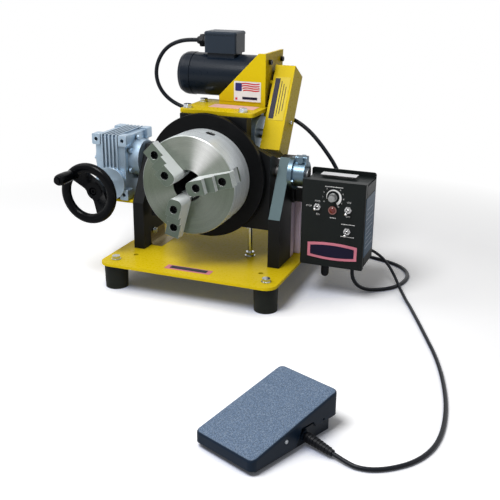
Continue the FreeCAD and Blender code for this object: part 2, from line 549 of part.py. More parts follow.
def make_control_box():
    """Sheet-metal enclosure: back and sides in one piece, a separate front and top cover."""
    sheet = 2.0
    chassis = rounded(block(BOX_X0 - 6, BOX_X1, BOX_Y1 - sheet, BOX_Y1, BOX_Z0, BOX_Z1), 5, Y)
    for x in (BOX_X0, BOX_X1 - sheet):
        chassis = chassis.fuse(block(x, x + sheet, BOX_Y0 + 16, BOX_Y1 - 1, BOX_Z0 + 4, BOX_Z1 - 12))
    chassis = chassis.fuse(block(BOX_X0 + 1, BOX_X1 - 1, BOX_Y0 + 16, BOX_Y1 - 1, BOX_Z0 + 3, BOX_Z0 + 5)).removeSplitter()
    for x, z in REAR_GLANDS:
        chassis = chassis.cut(rod(6.0, vec(x, BOX_Y1 - 5, z), Y, 10))
    for x in (FUSE_X, MAINS_X):
        chassis = chassis.cut(rod(6.0, vec(x, UNDER_Y, BOX_Z0 - 2), Z, 10))
    save("control_chassis", chassis)

    cover = rounded(block(BOX_X0, BOX_X1, BOX_Y0, BOX_Y0 + 16, BOX_Z0, BOX_Z1 - 4), 3, Z)
    cover = cover.cut(block(BOX_X0 + sheet, BOX_X1 - sheet, BOX_Y0 + sheet, BOX_Y0 + 20, BOX_Z0 + sheet, BOX_Z1 - 6))
    lid = block(BOX_X0 + 2.5, BOX_X1 - 2.5, BOX_Y0 + 1, BOX_Y1 - 2.5, BOX_Z1 - 12, BOX_Z1 - 10)
    cover = cover.fuse(lid).removeSplitter()
    for x, z, r in PANEL_HOLES:
        cover = cover.cut(rod(r, vec(x, BOX_Y0 - 2, z), Y, 8))
    save("control_cover", cover)

    post = block(161, 181, 22, 28, PLATE_T, 150).fuse(block(172, 181, 7, 23, 130, 150))
    arm = block(UPRIGHT_OUT, UPRIGHT_OUT + 5, -10, 8, 130, 160)
    arm = arm.fuse([block(UPRIGHT_OUT, BOX_X0, 2, 8, 130, 160), block(BOX_X0 - 5, BOX_X0, -40, 8, 130, 160), post])
    save("box_bracket", arm.removeSplitter())

    bushings = []
    for x, z in TOGGLES:
        at = vec(x, BOX_Y0, z)
        nut = hexagon(13, at, -Y, 2.5).fuse(rod(5.8, at, -Y, 6)).fuse(rod(5.8, at - Y * 0.5, Y, 12))
        bushings.append(nut.cut(rod(4.3, at - Y * 7, Y, 10)).removeSplitter())
    save("toggle_bushings", group(*bushings))
    lamp = rod(5.9, vec(LAMP[0], BOX_Y0 - 1, LAMP[1]), Y, 14)
    lamp = lamp.fuse(ring(8.5, 6.3, vec(LAMP[0], BOX_Y0 - 2.5, LAMP[1]), Y, 2.5))
    lens = Part.makeSphere(9.0, vec(LAMP[0], BOX_Y0 + 4.5, LAMP[1]))
    lens = lens.common(rod(6.3, vec(LAMP[0], BOX_Y0 - 9, LAMP[1]), Y, 9))
    save("pilot_lamp", lamp.fuse(lens).removeSplitter())

    at = vec(FUSE_X, UNDER_Y, BOX_Z0)
    fuse = rod(8.5, at, -Z, 31.5).fuse([Part.makeSphere(8.5, at - Z * 31.5), rod(5.9, at - Z, Z, 8)]).removeSplitter()
    at = vec(MAINS_X, UNDER_Y, BOX_Z0)
    bottom = hexagon(18, at, -Z, 7).fuse([Part.makeCone(8, 6, 8, at - Z * 7, -Z), rod(5.9, at - Z, Z, 8)])
    rear = []
    for x, z in REAR_GLANDS:
        at = vec(x, BOX_Y1, z)
        gland = hexagon(18, at, Y, 6).fuse([rod(7, at, Y, 12), rod(5.9, at - Y * 5, Y, 6)])
        rear.append(gland.removeSplitter())
    save("box_fittings", group(fuse, bottom.removeSplitter(), *rear))

    for number, (x, z) in enumerate(TOGGLES, 1):
        pivot = vec(x, BOX_Y0 - 2, z)
        lever = rod(1.6, pivot, -Y, 12).fuse(Part.makeCone(1.6, 2.9, 7, pivot - Y * 11, -Y))
        lever = lever.fuse(Part.makeSphere(2.9, pivot - Y * 18)).fuse(Part.makeSphere(3.2, pivot)).removeSplitter()
        if number > 1:
            lever.rotate(pivot, X, TOGGLE_TILT)
        save("toggle_lever_" + str(number), lever)

    at = vec(KNOB[0], BOX_Y0 - 0.6, KNOB[1])
    knob = Part.makeCone(7.6, 6.6, 14, at, -Y)
    knob = knob.fuse(rod(8.6, at, -Y, 3)).fuse(rod(3, at - Y, Y, 12)).removeSplitter()
    pointer = block(-0.7, 0.7, -0.8, 0.8, 0, 8)
    pointer.rotate(vec(0, 0, 0), Y, 210)
    pointer.translate(at - Y * 14)
    save("speed_knob", knob.cut(pointer))


# ---------------------------------------------------------------- foot pedal
PEDAL_PIN_S, PEDAL_PIN_Z = -24.0, 27.0               # hinge pin, along and above the pedal
BOOT_S, BOOT_Z = 22.0, 15.0


def place_pedal(shape):
    """Pedals are drawn with their length along +X, standing on Z = 0, and set down beside the machine."""
    shape.rotate(vec(0, 0, 0), Z, PEDAL_YAW)
    shape.translate(vec(PEDAL_X, PEDAL_Y, FLOOR))
    return shape


def make_pedal():
    half, side = PEDAL_L / 2, PEDAL_W / 2
    low, high = 25.5, 65.0
    outline = [vec(-half, -side, 8), vec(-half, -side, low), vec(half, -side, high), vec(half, -side, 24),
               vec(BOOT_S + 19, -side, 24), vec(BOOT_S + 13, -side, 34), vec(BOOT_S - 13, -side, 34),
               vec(BOOT_S - 24, -side, 8)]
    solid = prism(outline, Y * PEDAL_W)
    corners = [e for e in solid.Edges if e.BoundBox.XLength < 0.1 and e.BoundBox.YLength < 0.1]
    solid = solid.makeFillet(10, corners)

    def on_top(edge):
        return all(abs(v.Z - low - (high - low) * (v.X + half) / PEDAL_L) < 0.01 for v in edge.Vertexes)

    solid = solid.makeFillet(4.5, [e for e in solid.Edges if on_top(e)])
    inner = prism([vec(-half + 4, -side + 4, 0), vec(-half + 4, -side + 4, low - 5), vec(half - 4, -side + 4, high - 6),
                   vec(half - 4, -side + 4, 0)], Y * (PEDAL_W - 8))
    pin_start = vec(PEDAL_PIN_S, -100, PEDAL_PIN_Z)
    cover = solid.cut(inner).cut(rod(3.05, pin_start, Y, 200)).cut(rod(2.2, vec(59, -100, 28), Y, 60))
    save("pedal_cover", place_pedal(cover))

    half_in, side_in = half - 14, side - 7
    base_outline = [vec(-half_in, -side_in, 0), vec(-half_in, -side_in, 10), vec(-36, -side_in, 20),
                    vec(half_in - 20, -side_in, 26), vec(half_in, -side_in, 20), vec(half_in, -side_in, 0)]
    base = prism(base_outline, Y * (2 * side_in))
    base = base.cut(rod(3.0, pin_start, Y, 200))
    for y in (-side_in, side_in - 8):
        ear = block(PEDAL_PIN_S - 8, PEDAL_PIN_S + 8, y, y + 8, 10, 31)
        base = base.fuse(ear.cut(rod(3.0, pin_start, Y, 200)))
    base = base.fuse(rod(9.0, vec(BOOT_S, -side_in - 4, BOOT_Z), Y, 6)).removeSplitter()
    pin = rod(3.0, vec(PEDAL_PIN_S, -side - 1, PEDAL_PIN_Z), Y, PEDAL_W + 2)
    save("pedal_base", place_pedal(group(base, pin)))

    along = vec(0, -1, -0.12)
    relief = Part.makeCone(7.0, 5.2, 50, vec(BOOT_S, -side_in - 5, BOOT_Z), along)
    for k in range(8):
        at = vec(BOOT_S, -side_in - 5, BOOT_Z) + along * (3 + 5.4 * k)
        relief = relief.fuse(rod(8.4 - 0.3 * k, at, along, 2.8))
    save("pedal_strain_relief", place_pedal(relief.removeSplitter()))


# ---------------------------------------------------------------- cords
def cord_tube(name, points, diameter):
    """A cord as straight runs joined by the widest tangent arcs that its runs allow."""
    p = [vec(*q) for q in points]
    edges, start, radii = [], p[0], []
    for k in range(1, len(p) - 1):
        a, b = p[k - 1] - p[k], p[k + 1] - p[k]
        reach = 0.45 * min(a.Length, b.Length)
        a.normalize()
        b.normalize()
        turn = math.pi - a.getAngle(b)
        radii.append(reach / math.tan(turn / 2))
        first, last = p[k] + a * reach, p[k] + b * reach
        bisector = a + b
        bisector.normalize()
        middle = p[k] + bisector * (math.hypot(radii[-1], reach) - radii[-1])
        edges += [Part.LineSegment(start, first).toShape(), Part.Arc(first, middle, last).toShape()]
        start = last
    edges.append(Part.LineSegment(start, p[-1]).toShape())
    path = Part.Wire(edges)
    section = Part.Wire(Part.Circle(p[0], p[1] - p[0], diameter / 2).toShape())
    tube = path.makePipeShell([section], True, True, 2)
    expected = math.pi * diameter ** 2 / 4 * path.Length
    print(name, "length", round(path.Length), "smallest radius", round(min(radii)), "of diameter", diameter,
          "volume ratio", round(tube.Volume / expected, 3))
    save(name, tube)


MOTOR_CORD = [(-89, 88, 446), (-112, 88, 446), (-141, 88, 440), (-166, 88, 427), (-185, 89, 405), (-196, 90, 377),
              (-195, 92, 348), (-183, 97, 322), (-161, 103, 302), (-130, 109, 289), (-92, 112, 287.5), (-50, 115, 289),
              (-6, 116, 292), (38, 115, 294), (80, 111, 292), (106, 107, 291), (131, 101, 286), (155, 98, 275),
              (177, 96, 259), (196, 94, 240.5), (212.5, 92, 222), (227, 91, 204), (238, 90.5, 187), (246, 89.5, 170),
              (252, 83, 154), (256, 70, 141), (258.5, 54, 134.6), (259, 37.2, 134)]
PEDAL_CORD = [(318, 37.4, 29), (318, 48, 28), (321.5, 60, 24.5), (329.5, 70, 19), (341, 75.5, 11.5), (354, 75, 3),
              (366.5, 69, -6), (378, 59.5, -15), (388.5, 47.5, -24), (398, 34, -32.5), (408, 18.5, -40.5),
              (418.5, 1, -46.5), (429, -19, -49.8), (441, -44, -50), (454, -75, -50), (473, -120, -50),
              (500, -186, -50), (526, -250, -50), (548, -320, -50), (564, -388, -50), (573, -446, -50),
              (576, -504, -50), (570, -552, -50), (552, -592, -50), (525, -619, -50), (501, -633, -50),
              (478, -637, -49.5), (457, -629.8, -47.2), (440, -622.6, -45)]
MAINS_CORD = [(311, -20, 4), (311, -20, -8), (315, -17, -24), (325, -9, -38.5), (340, 3, -47.5), (358, 16, -50),
              (380, 32, -50), (397, 58, -50), (405, 92, -50), (405, 127, -50), (393, 158, -50), (371, 182, -50),
              (340, 199, -50), (300, 214, -50), (254, 226, -50), (206, 231, -50), (158, 227, -50), (118, 219.5, -50),
              (98, 218, -50)]
COIL_X, COIL_Y, COIL_MID, COIL_HALF, COIL_H = 80.0, 262.0, 44.0, 12.0, 16.0


def make_cords():
    cord_tube("motor_cord", MOTOR_CORD, 9.0)
    cord_tube("pedal_cord", PEDAL_CORD, 6.5)
    cord_tube("mains_cord", MAINS_CORD, 8.0)
    at = vec(COIL_X, COIL_Y, FLOOR)
    coil = ring(COIL_MID + COIL_HALF, COIL_MID - COIL_HALF, at, Z, COIL_H)
    save("mains_coil", coil.makeFillet(3.5, [e for e in coil.Edges if e.isClosed()]))
    x = COIL_X - COIL_MID
    tail_y = COIL_Y + 40.0
    relief = Part.makeCone(4.5, 7, 22, vec(x, tail_y, FLOOR + 11), Y)
    body = rounded(block(x - 13, x + 13, tail_y + 21, tail_y + 54, FLOOR, FLOOR + 24), 4, Y)
    plug = relief.fuse(body)
    for dx, dz, tall in ((-6.35, 14, 6.4), (6.35, 14, 6.4)):
        plug = plug.fuse(block(x + dx - 0.8, x + dx + 0.8, tail_y + 53, tail_y + 71, FLOOR + dz - 3, FLOOR + dz + tall - 3))
    plug = plug.fuse(rod(2.4, vec(x, tail_y + 53, FLOOR + 7), Y, 20)).removeSplitter()
    save("mains_plug", plug)


make_base()
make_uprights()
make_collar()
make_tilt_gearbox()
make_handwheel()
make_head_frame()
make_spindle_gearbox()
make_top()
make_motor()
make_chain_drive()
make_spindle()
make_chuck()
make_control_box()
make_pedal()
make_cords()
print(len(os.listdir("parts")), "files")
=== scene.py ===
"""Finish for the welding positioner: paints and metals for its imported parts, its cords, its bare plates and
stickers, the marks on its control panel, and the studio that it stands in."""

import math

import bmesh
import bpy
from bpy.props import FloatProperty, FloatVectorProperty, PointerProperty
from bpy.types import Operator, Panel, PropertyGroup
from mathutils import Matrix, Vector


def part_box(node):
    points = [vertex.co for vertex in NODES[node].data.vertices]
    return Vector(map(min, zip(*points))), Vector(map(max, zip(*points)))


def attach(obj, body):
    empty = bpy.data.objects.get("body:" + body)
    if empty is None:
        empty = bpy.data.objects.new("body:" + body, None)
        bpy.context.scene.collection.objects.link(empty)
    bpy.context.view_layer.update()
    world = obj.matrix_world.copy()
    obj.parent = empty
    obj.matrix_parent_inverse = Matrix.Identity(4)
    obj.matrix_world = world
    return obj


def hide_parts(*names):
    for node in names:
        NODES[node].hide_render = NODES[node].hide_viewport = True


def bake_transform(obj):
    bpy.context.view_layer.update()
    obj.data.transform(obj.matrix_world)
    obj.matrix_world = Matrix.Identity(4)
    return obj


bl_info = {
    "name": "Welding Positioner Finish",
    "version": (1, 0, 0),
    "blender": (4, 5, 0),
    "location": "3D View > Sidebar > Positioner",
    "description": "Paints, metals, cords, plates and panel marks of a bench welding positioner",
    "category": "Object",
}

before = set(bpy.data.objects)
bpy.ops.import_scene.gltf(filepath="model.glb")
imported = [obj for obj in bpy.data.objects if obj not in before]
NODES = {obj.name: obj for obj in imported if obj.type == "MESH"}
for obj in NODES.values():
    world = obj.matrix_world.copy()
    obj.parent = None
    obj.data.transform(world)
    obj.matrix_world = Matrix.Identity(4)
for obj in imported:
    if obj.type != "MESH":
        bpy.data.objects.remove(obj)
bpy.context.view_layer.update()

MM = 0.001
SHEET, INK = 0.0004, 0.0002               # thickness of a sticker, and of what is printed on it
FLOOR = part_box("feet")[0].z
PEDAL_YAW = math.radians(66.9)
PEDAL_PIN = Vector((0.3336, -0.6011, -0.0270)) - 0.024 * Vector((math.cos(PEDAL_YAW), math.sin(PEDAL_YAW), 0))


# ---------------------------------------------------------------- settings
def colour(label, text, default):
    return FloatVectorProperty(name=label, description=text, subtype="COLOR", size=3, min=0, max=1,
                               default=default)


def number(label, text, default, subtype="NONE", **limits):
    unit = {"DISTANCE": "LENGTH", "ANGLE": "ROTATION"}.get(subtype, "NONE")
    return FloatProperty(name=label, description=text, default=default, subtype=subtype, unit=unit, **limits)


def thickness(label, text, default):
    return number(label, text, default, "DISTANCE", min=0.002, max=0.03)


class FinishSettings(PropertyGroup):
    """Colours of the paints, metals and mouldings, as linear values."""
    golden: colour("Golden paint", "Enamel of the base, top plate, bracket and guard", (0.76, 0.56, 0.010))
    satin_black: colour("Satin black", "Paint of the uprights and head frame", (0.006, 0.0068, 0.0078))
    casting: colour("Casting", "Die-cast aluminium of both worm gearboxes", (0.43, 0.56, 0.69))
    chuck_steel: colour("Chuck steel", "Turned steel of the chuck", (0.125, 0.16, 0.11))
    motor_navy: colour("Motor navy", "Paint of the motor", (0.006, 0.011, 0.020))
    pedal_slate: colour("Pedal slate", "Wrinkle finish of the foot pedal's cover", (0.125, 0.18, 0.27))
    panel_black: colour("Panel black", "Powder coat of the control box", (0.007, 0.0095, 0.0095))


class CordSettings(PropertyGroup):
    """Sizes of the three cords."""
    motor: thickness("Motor cord", "Diameter of the motor's cord", 9.0 * MM)
    pedal: thickness("Pedal cord", "Diameter of the foot pedal's cord", 6.5 * MM)
    mains: thickness("Mains lead", "Diameter of the mains lead", 8.0 * MM)


class StageSettings(PropertyGroup):
    """Where the camera stands and how strong the lights are."""
    azimuth: number("Camera azimuth", "Turn of the camera to the machine's right", math.radians(20.88),
                    "ANGLE")
    elevation: number("Camera elevation", "Angle of the camera above level", math.radians(19.67), "ANGLE")
    roll: number("Camera roll", "Turn of the camera about its own line of sight", math.radians(0.70), "ANGLE")
    distance: number("Camera distance", "From the camera to the point it looks at", 1.589, "DISTANCE",
                     min=0.3, max=10)
    lens: number("Lens", "Focal length on a 36 mm sensor, in millimetres", 58.75, min=10, max=200)
    key: number("Key light", "Power of the large light over the front, in watts", 42.0, min=0, max=200)
    side: number("Side light", "Power of the soft light at the left, in watts", 7.0, min=0, max=200)
    sky: number("Sky", "Strength of the even light from all round", 0.18, min=0, max=2)


# ---------------------------------------------------------------- shader helpers
def fill(tree, node, sockets):
    """Fill a node's sockets from values or from other nodes' outputs."""
    for socket, value in sockets.items():
        if isinstance(value, bpy.types.NodeSocket):
            tree.links.new(value, node.inputs[socket])
        else:
            node.inputs[socket].default_value = value


def add(tree, kind, sockets=None, **settings):
    """A shader node with its settings and its filled sockets."""
    node = tree.nodes.new("ShaderNode" + kind)
    for name, value in settings.items():
        setattr(node, name, value)
    fill(tree, node, sockets or {})
    return node


def math_node(tree, operation, first, second=0.5):
    return add(tree, "Math", {0: first, 1: second}, operation=operation).outputs[0]


def times(tree, first, second):
    return math_node(tree, "MULTIPLY", first, second)


def above(tree, value, limit):
    return math_node(tree, "GREATER_THAN", value, limit)


def below(tree, value, limit):
    return math_node(tree, "LESS_THAN", value, limit)


def rgba(tint):
    """A colour as its socket takes it, from three numbers or from another node."""
    return tint if isinstance(tint, bpy.types.NodeSocket) else (*tint, 1.0)


def blend_colours(tree, factor, first, second):
    return add(tree, "Mix", {0: factor, 6: rgba(first), 7: rgba(second)}, data_type="RGBA").outputs[2]


def scaled(tree, vector, by):
    return add(tree, "VectorMath", {0: vector, "Scale": by}, operation="SCALE").outputs[0]


def spread(tree, value, low, high, start=0.0, end=1.0):
    """Carry a value from one range to another."""
    return add(tree, "MapRange", {"Value": value, "From Min": start, "From Max": end,
                                  "To Min": low, "To Max": high}).outputs[0]


def axes_of(tree, vector):
    return add(tree, "SeparateXYZ", {0: vector}).outputs


def normal_axes(tree):
    return axes_of(tree, add(tree, "NewGeometry").outputs["Normal"])


def counted_from(tree, place, offset, **more):
    """A place counted from another point, and turned or stretched if more says so."""
    return add(tree, "Mapping", {"Vector": place, "Location": offset, **more}).outputs[0]


def length_of(tree, vector):
    return add(tree, "VectorMath", {0: vector}, operation="LENGTH").outputs["Value"]


def distance_from_y(tree, axes):
    """How far a point lies from the Y axis."""
    return length_of(tree, add(tree, "CombineXYZ", {0: axes[0], 2: axes[2]}).outputs[0])


def open_air(tree, reach, samples):
    """Near 0 deep among other parts, 1 in the open."""
    return add(tree, "AmbientOcclusion", {"Distance": reach}, samples=samples).outputs["AO"]


def noise(tree, vector, scale, detail, **more):
    sockets = {"Vector": vector, "Scale": scale, "Detail": detail, **more}
    return add(tree, "TexNoise", sockets).outputs["Fac"]


def line_noise(tree, distance, detail):
    """Noise that changes only with a distance."""
    sockets = {"W": distance, "Scale": 1.0, "Detail": detail}
    return add(tree, "TexNoise", sockets, noise_dimensions="1D").outputs["Fac"]


# ---------------------------------------------------------------- shared effects
def open_group(name, inputs, outputs):
    """An empty node group with named sockets; gives its tree, its inputs and its outputs."""
    tree = bpy.data.node_groups.new(name, "ShaderNodeTree")
    for label, kind, default in inputs:
        socket = tree.interface.new_socket(name=label, in_out="INPUT", socket_type="NodeSocket" + kind)
        if default is not None:
            socket.default_value = default
    for label, kind in outputs:
        tree.interface.new_socket(name=label, in_out="OUTPUT", socket_type="NodeSocket" + kind)
    return tree, tree.nodes.new("NodeGroupInput").outputs, tree.nodes.new("NodeGroupOutput").inputs


def use_group(tree, name, sockets):
    """Place a shared effect in a material with that material's own values."""
    node = tree.nodes.new("ShaderNodeGroup")
    node.node_tree = bpy.data.node_groups[name]
    fill(tree, node, sockets)
    return node.outputs


def build_tone_drift():
    """A colour that wanders a little lighter and darker over a surface."""
    tree, given, out = open_group(
        "Tone drift",
        [("Vector", "Vector", None), ("Colour", "Color", (1, 1, 1, 1)), ("Scale", "Float", 12.0),
         ("Amount", "Float", 0.08)],
        [("Colour", "Color")])
    centred = math_node(tree, "SUBTRACT", noise(tree, given["Vector"], given["Scale"], 3.0), 0.5)
    swing = times(tree, centred, given["Amount"])
    gain = math_node(tree, "ADD", times(tree, swing, 2.0), 1.0)
    tree.links.new(scaled(tree, given["Colour"], gain), out["Colour"])


def build_grain():
    """Fine random grain: a height for bumps and a value for roughness."""
    tree, given, out = open_group("Grain", [("Vector", "Vector", None), ("Scale", "Float", 400.0),
                                            ("Low", "Float", 0.3), ("High", "Float", 0.5)],
                                  [("Height", "Float"), ("Value", "Float")])
    height = noise(tree, given["Vector"], given["Scale"], 4.0, Roughness=0.6)
    tree.links.new(height, out["Height"])
    tree.links.new(spread(tree, height, given["Low"], given["High"], 0.3, 0.7), out["Value"])


def build_flecks():
    """Small scattered dots, as in a speckled powder coat."""
    tree, given, out = open_group(
        "Flecks",
        [("Vector", "Vector", None), ("Scale", "Float", 600.0), ("Size", "Float", 0.35)],
        [("Mask", "Float"), ("Height", "Float")])
    cells = add(tree, "TexVoronoi", {"Vector": given["Vector"], "Scale": given["Scale"]}).outputs
    near = spread(tree, cells["Distance"], 0.0, 1.0, given["Size"], 0.0)
    chance = add(tree, "SeparateColor", {0: cells["Color"]}).outputs[0]
    tree.links.new(times(tree, near, spread(tree, chance, 0.0, 1.0, 0.25, 0.9)), out["Mask"])
    tree.links.new(near, out["Height"])


def build_turning():
    """Lathe marks: fine rings round the Y axis on faces, and along it on round sides."""
    tree, given, out = open_group("Turning", [("Vector", "Vector", None), ("Pitch", "Float", 900.0)],
                                  [("Height", "Float"), ("Mask", "Float")])
    axes = axes_of(tree, given["Vector"])
    along = math_node(tree, "ADD", distance_from_y(tree, axes), axes[1])
    fine = line_noise(tree, times(tree, along, given["Pitch"]), 3.0)
    broad = line_noise(tree, times(tree, along, 60.0), 2.0)
    tree.links.new(fine, out["Height"])
    tree.links.new(times(tree, fine, broad), out["Mask"])


def build_edge_wear():
    """A mask along convex and hollow edges, from how a rounded normal differs from the true one."""
    tree, given, out = open_group("Edge wear", [("Radius", "Float", 0.0012), ("Strength", "Float", 6.0)],
                                  [("Mask", "Float")])
    soft = add(tree, "Bevel", {"Radius": given["Radius"]}, samples=4).outputs[0]
    true = add(tree, "NewGeometry").outputs["Normal"]
    agree = add(tree, "VectorMath", {0: soft, 1: true}, operation="DOT_PRODUCT").outputs["Value"]
    lost = math_node(tree, "SUBTRACT", 1.0, agree)
    mask = add(tree, "Math", {0: lost, 1: given["Strength"]}, operation="MULTIPLY", use_clamp=True)
    tree.links.new(mask.outputs[0], out["Mask"])


def drift(tree, place, tint, scale=12.0, amount=0.08):
    """A tint that wanders a little over the surface."""
    return use_group(tree, "Tone drift", {"Vector": place, "Colour": rgba(tint), "Scale": scale,
                                          "Amount": amount})["Colour"]


def grained(tree, place, scale, low, high):
    """Fine grain: its height, and a value between two others."""
    return use_group(tree, "Grain", {"Vector": place, "Scale": scale, "Low": low, "High": high})


def flecked(tree, place, scale, size):
    return use_group(tree, "Flecks", {"Vector": place, "Scale": scale, "Size": size})


def rub_edges(tree, tone, worn, radius, strength):
    """Blend a colour towards another along the edges."""
    edge = use_group(tree, "Edge wear", {"Radius": radius, "Strength": strength})["Mask"]
    return blend_colours(tree, edge, tone, worn)


# ---------------------------------------------------------------- materials
def start_material(name, **plain):
    """A material with its Principled shader's plain sockets set, and object coordinates ready."""
    material = bpy.data.materials.new(name)
    material.use_nodes = True
    tree = material.node_tree
    shader = tree.nodes["Principled BSDF"]
    for socket, value in plain.items():
        shader.inputs[socket.replace("_", " ")].default_value = value
    return tree, shader, add(tree, "TexCoord").outputs["Object"]


def dress(tree, shader, tone, roughness, metallic=None):
    """Give the shader its colour, its roughness and, where it isn't even, its share of bare metal."""
    tree.links.new(tone, shader.inputs["Base Color"])
    tree.links.new(roughness, shader.inputs["Roughness"])
    if metallic is not None:
        tree.links.new(metallic, shader.inputs["Metallic"])


def bump(tree, shader, height, depth, edge=0.0):
    """Feed a height to the shader's normal, over edges rounded by a small radius."""
    sockets = {"Height": height, "Strength": 1.0, "Distance": depth}
    if edge:
        sockets["Normal"] = add(tree, "Bevel", {"Radius": edge}, samples=4).outputs[0]
    tree.links.new(add(tree, "Bump", sockets).outputs[0], shader.inputs["Normal"])


def base_colour(material):
    """The socket of a material's colour, and what feeds it."""
    socket = material.node_tree.nodes["Principled BSDF"].inputs["Base Color"]
    return socket, socket.links[0].from_socket


def overlay(material, mask, tint):
    """Lay another colour over a material's own where a mask says."""
    tree = material.node_tree
    base, under = base_colour(material)
    tree.links.new(blend_colours(tree, mask, under, tint), base)


def painted(name, tint, roughness, peel, wander=0.05, coat=0.0, worn=None, shine=0.5, depth=0.03):
    """Sprayed paint: slight orange peel, a tone that drifts, and edges where it thins."""
    tree, shader, place = start_material(name, Coat_Weight=coat, Coat_Roughness=0.10,
                                         Specular_IOR_Level=shine)
    tone = drift(tree, place, tint, amount=wander)
    if worn:
        tone = rub_edges(tree, tone, worn, 0.0010, 2.2)
    grain = grained(tree, place, peel, roughness - 0.05, roughness + 0.07)
    dress(tree, shader, tone, grain["Value"])
    bump(tree, shader, grain["Height"], depth * MM, 0.0008)
    return bpy.data.materials[name]


def golden_enamel(finish):
    """Golden paint, with painted shade: darker where the surface lies deep among other parts."""
    paint = painted("golden enamel", finish.golden, 0.28, 160.0, 0.06, 0.0, (0.84, 0.68, 0.06), 0.03, 0.02)
    tree = paint.node_tree
    base, unshaded = base_colour(paint)
    # painted shade: the colour is darkened where other parts crowd over the surface
    shade = spread(tree, open_air(tree, 0.07, 4), 0.45, 1.0, 0.15, 0.95)
    tree.links.new(scaled(tree, unshaded, shade), base)


def satin_black_paint(finish):
    """Satin black, with a painted blue-grey sheen on the right-hand raked front faces, where the light
    catches them.
    """
    paint = painted("satin black paint", finish.satin_black, 0.42, 420.0, 0.15, 0.0,
                    (0.04, 0.05, 0.056), 0.16)
    tree = paint.node_tree
    normal = normal_axes(tree)
    # painted sheen: raked front faces of the right upright get a lighter blue-grey
    raked = times(tree, below(tree, normal[1], -0.30), above(tree, normal[2], 0.20))
    right = above(tree, axes_of(tree, add(tree, "TexCoord").outputs["Object"])[0], 0.0)
    overlay(paint, times(tree, raked, right), (0.10, 0.155, 0.17))


def bracket_paint(finish):
    """Box bracket: pale lilac on the narrow back post, satin black on the rest."""
    paint = painted("box bracket paint", finish.satin_black, 0.38, 420.0, 0.15, 0.0,
                    (0.045, 0.052, 0.06), 0.32)
    tree = paint.node_tree
    place = add(tree, "TexCoord").outputs["Object"]
    post = above(tree, axes_of(tree, place)[1], 0.0215)
    overlay(paint, post, drift(tree, place, (0.88, 0.72, 0.90), 40.0, 0.1))


def plain_paints(finish):
    """The black of the face disc, the navy of the motor and the slate of its junction box."""
    painted("black oxide disc", (0.003, 0.0032, 0.0037), 0.36, 500.0, 0.15, 0.0, (0.03, 0.032, 0.03), 0.10)
    painted("navy motor paint", finish.motor_navy, 0.30, 240.0, 0.10, 0.08, (0.02, 0.032, 0.05), 0.16, 0.012)
    painted("slate junction box paint", (0.020, 0.030, 0.046), 0.36, 300.0, 0.08, 0.0,
            (0.06, 0.08, 0.10), 0.2)


def panel_coat(finish):
    """Fine textured powder coat of the control box."""
    tree, shader, place = start_material("textured powder coat", Specular_IOR_Level=0.18)
    fleck = flecked(tree, place, 1100.0, 0.5)
    tone = blend_colours(tree, times(tree, fleck["Mask"], 0.25), finish.panel_black, (0.06, 0.075, 0.072))
    tone = rub_edges(tree, tone, (0.06, 0.07, 0.075), 0.0010, 2.0)
    dress(tree, shader, tone, spread(tree, fleck["Height"], 0.40, 0.58))
    bump(tree, shader, fleck["Height"], 0.00005, 0.0010)


def cast_aluminium(finish):
    """Bead-blasted die casting, with painted shade darkening its hollows, and bright along its edges."""
    tree, shader, place = start_material("blasted die casting", Metallic=0.6)
    grain = grained(tree, place, 700.0, 0.26, 0.44)
    # painted shade: hollows among other parts take a darker blue-grey
    shade = spread(tree, open_air(tree, 0.014, 6), 0.0, 1.0, 0.15, 0.80)
    tone = blend_colours(tree, shade, (0.17, 0.23, 0.29), drift(tree, place, finish.casting, 30.0, 0.20))
    dress(tree, shader, rub_edges(tree, tone, (0.88, 0.92, 0.96), 0.0012, 2.2), grain["Value"])
    bump(tree, shader, grain["Height"], 0.00008, 0.0012)


# How bright the painted sheen on the chuck's face is at each angle round the spindle, anticlockwise from the
# right.
CHUCK_PAINTED_SHEEN = [(0, 0.05), (10, 0.08), (20, 0.15), (30, 0.25), (40, 0.20), (47, 0.55), (58, 1.00), (66, 1.00),
             (76, 0.62), (84, 0.25), (90, 0.25), (100, 0.20), (110, 0.25), (150, 0.10), (190, 0.02),
             (210, 0.25), (230, 0.0), (270, 0.05), (290, 0.12), (310, 0.15), (330, 0.14), (350, 0.08)]
CHUCK_BORE = 32.4 * MM
FLANGE_SCREWS = 0.088, 0.110      # how far to the right the motor flange's screws begin and end


def angle_about_y(tree, axes):
    return math_node(tree, "ARCTAN2", axes[2], axes[0])


def facing_front(tree):
    """1 on faces that look forwards or backwards, 0 on the sides round them."""
    return spread(tree, math_node(tree, "ABSOLUTE", normal_axes(tree)[1]), 0.0, 1.0, 0.55, 0.80)


def sheen_fan(tree, axes):
    """A painted sheen that fans out from a turned face's centre, set by its angle round the spindle."""
    turns = math_node(tree, "DIVIDE", angle_about_y(tree, axes), 2 * math.pi)
    around = add(tree, "Math", {0: turns, 1: 1.0, 2: 0.0}, operation="WRAP").outputs[0]
    fan = add(tree, "ValToRGB", {0: around})
    fan.color_ramp.interpolation = "B_SPLINE"
    while len(fan.color_ramp.elements) < len(CHUCK_PAINTED_SHEEN):
        fan.color_ramp.elements.new(0.5)
    for element, (angle, level) in zip(fan.color_ramp.elements, CHUCK_PAINTED_SHEEN):
        element.position = angle / 360
        element.color = (level, level, level, 1)
    return fan.outputs[0]


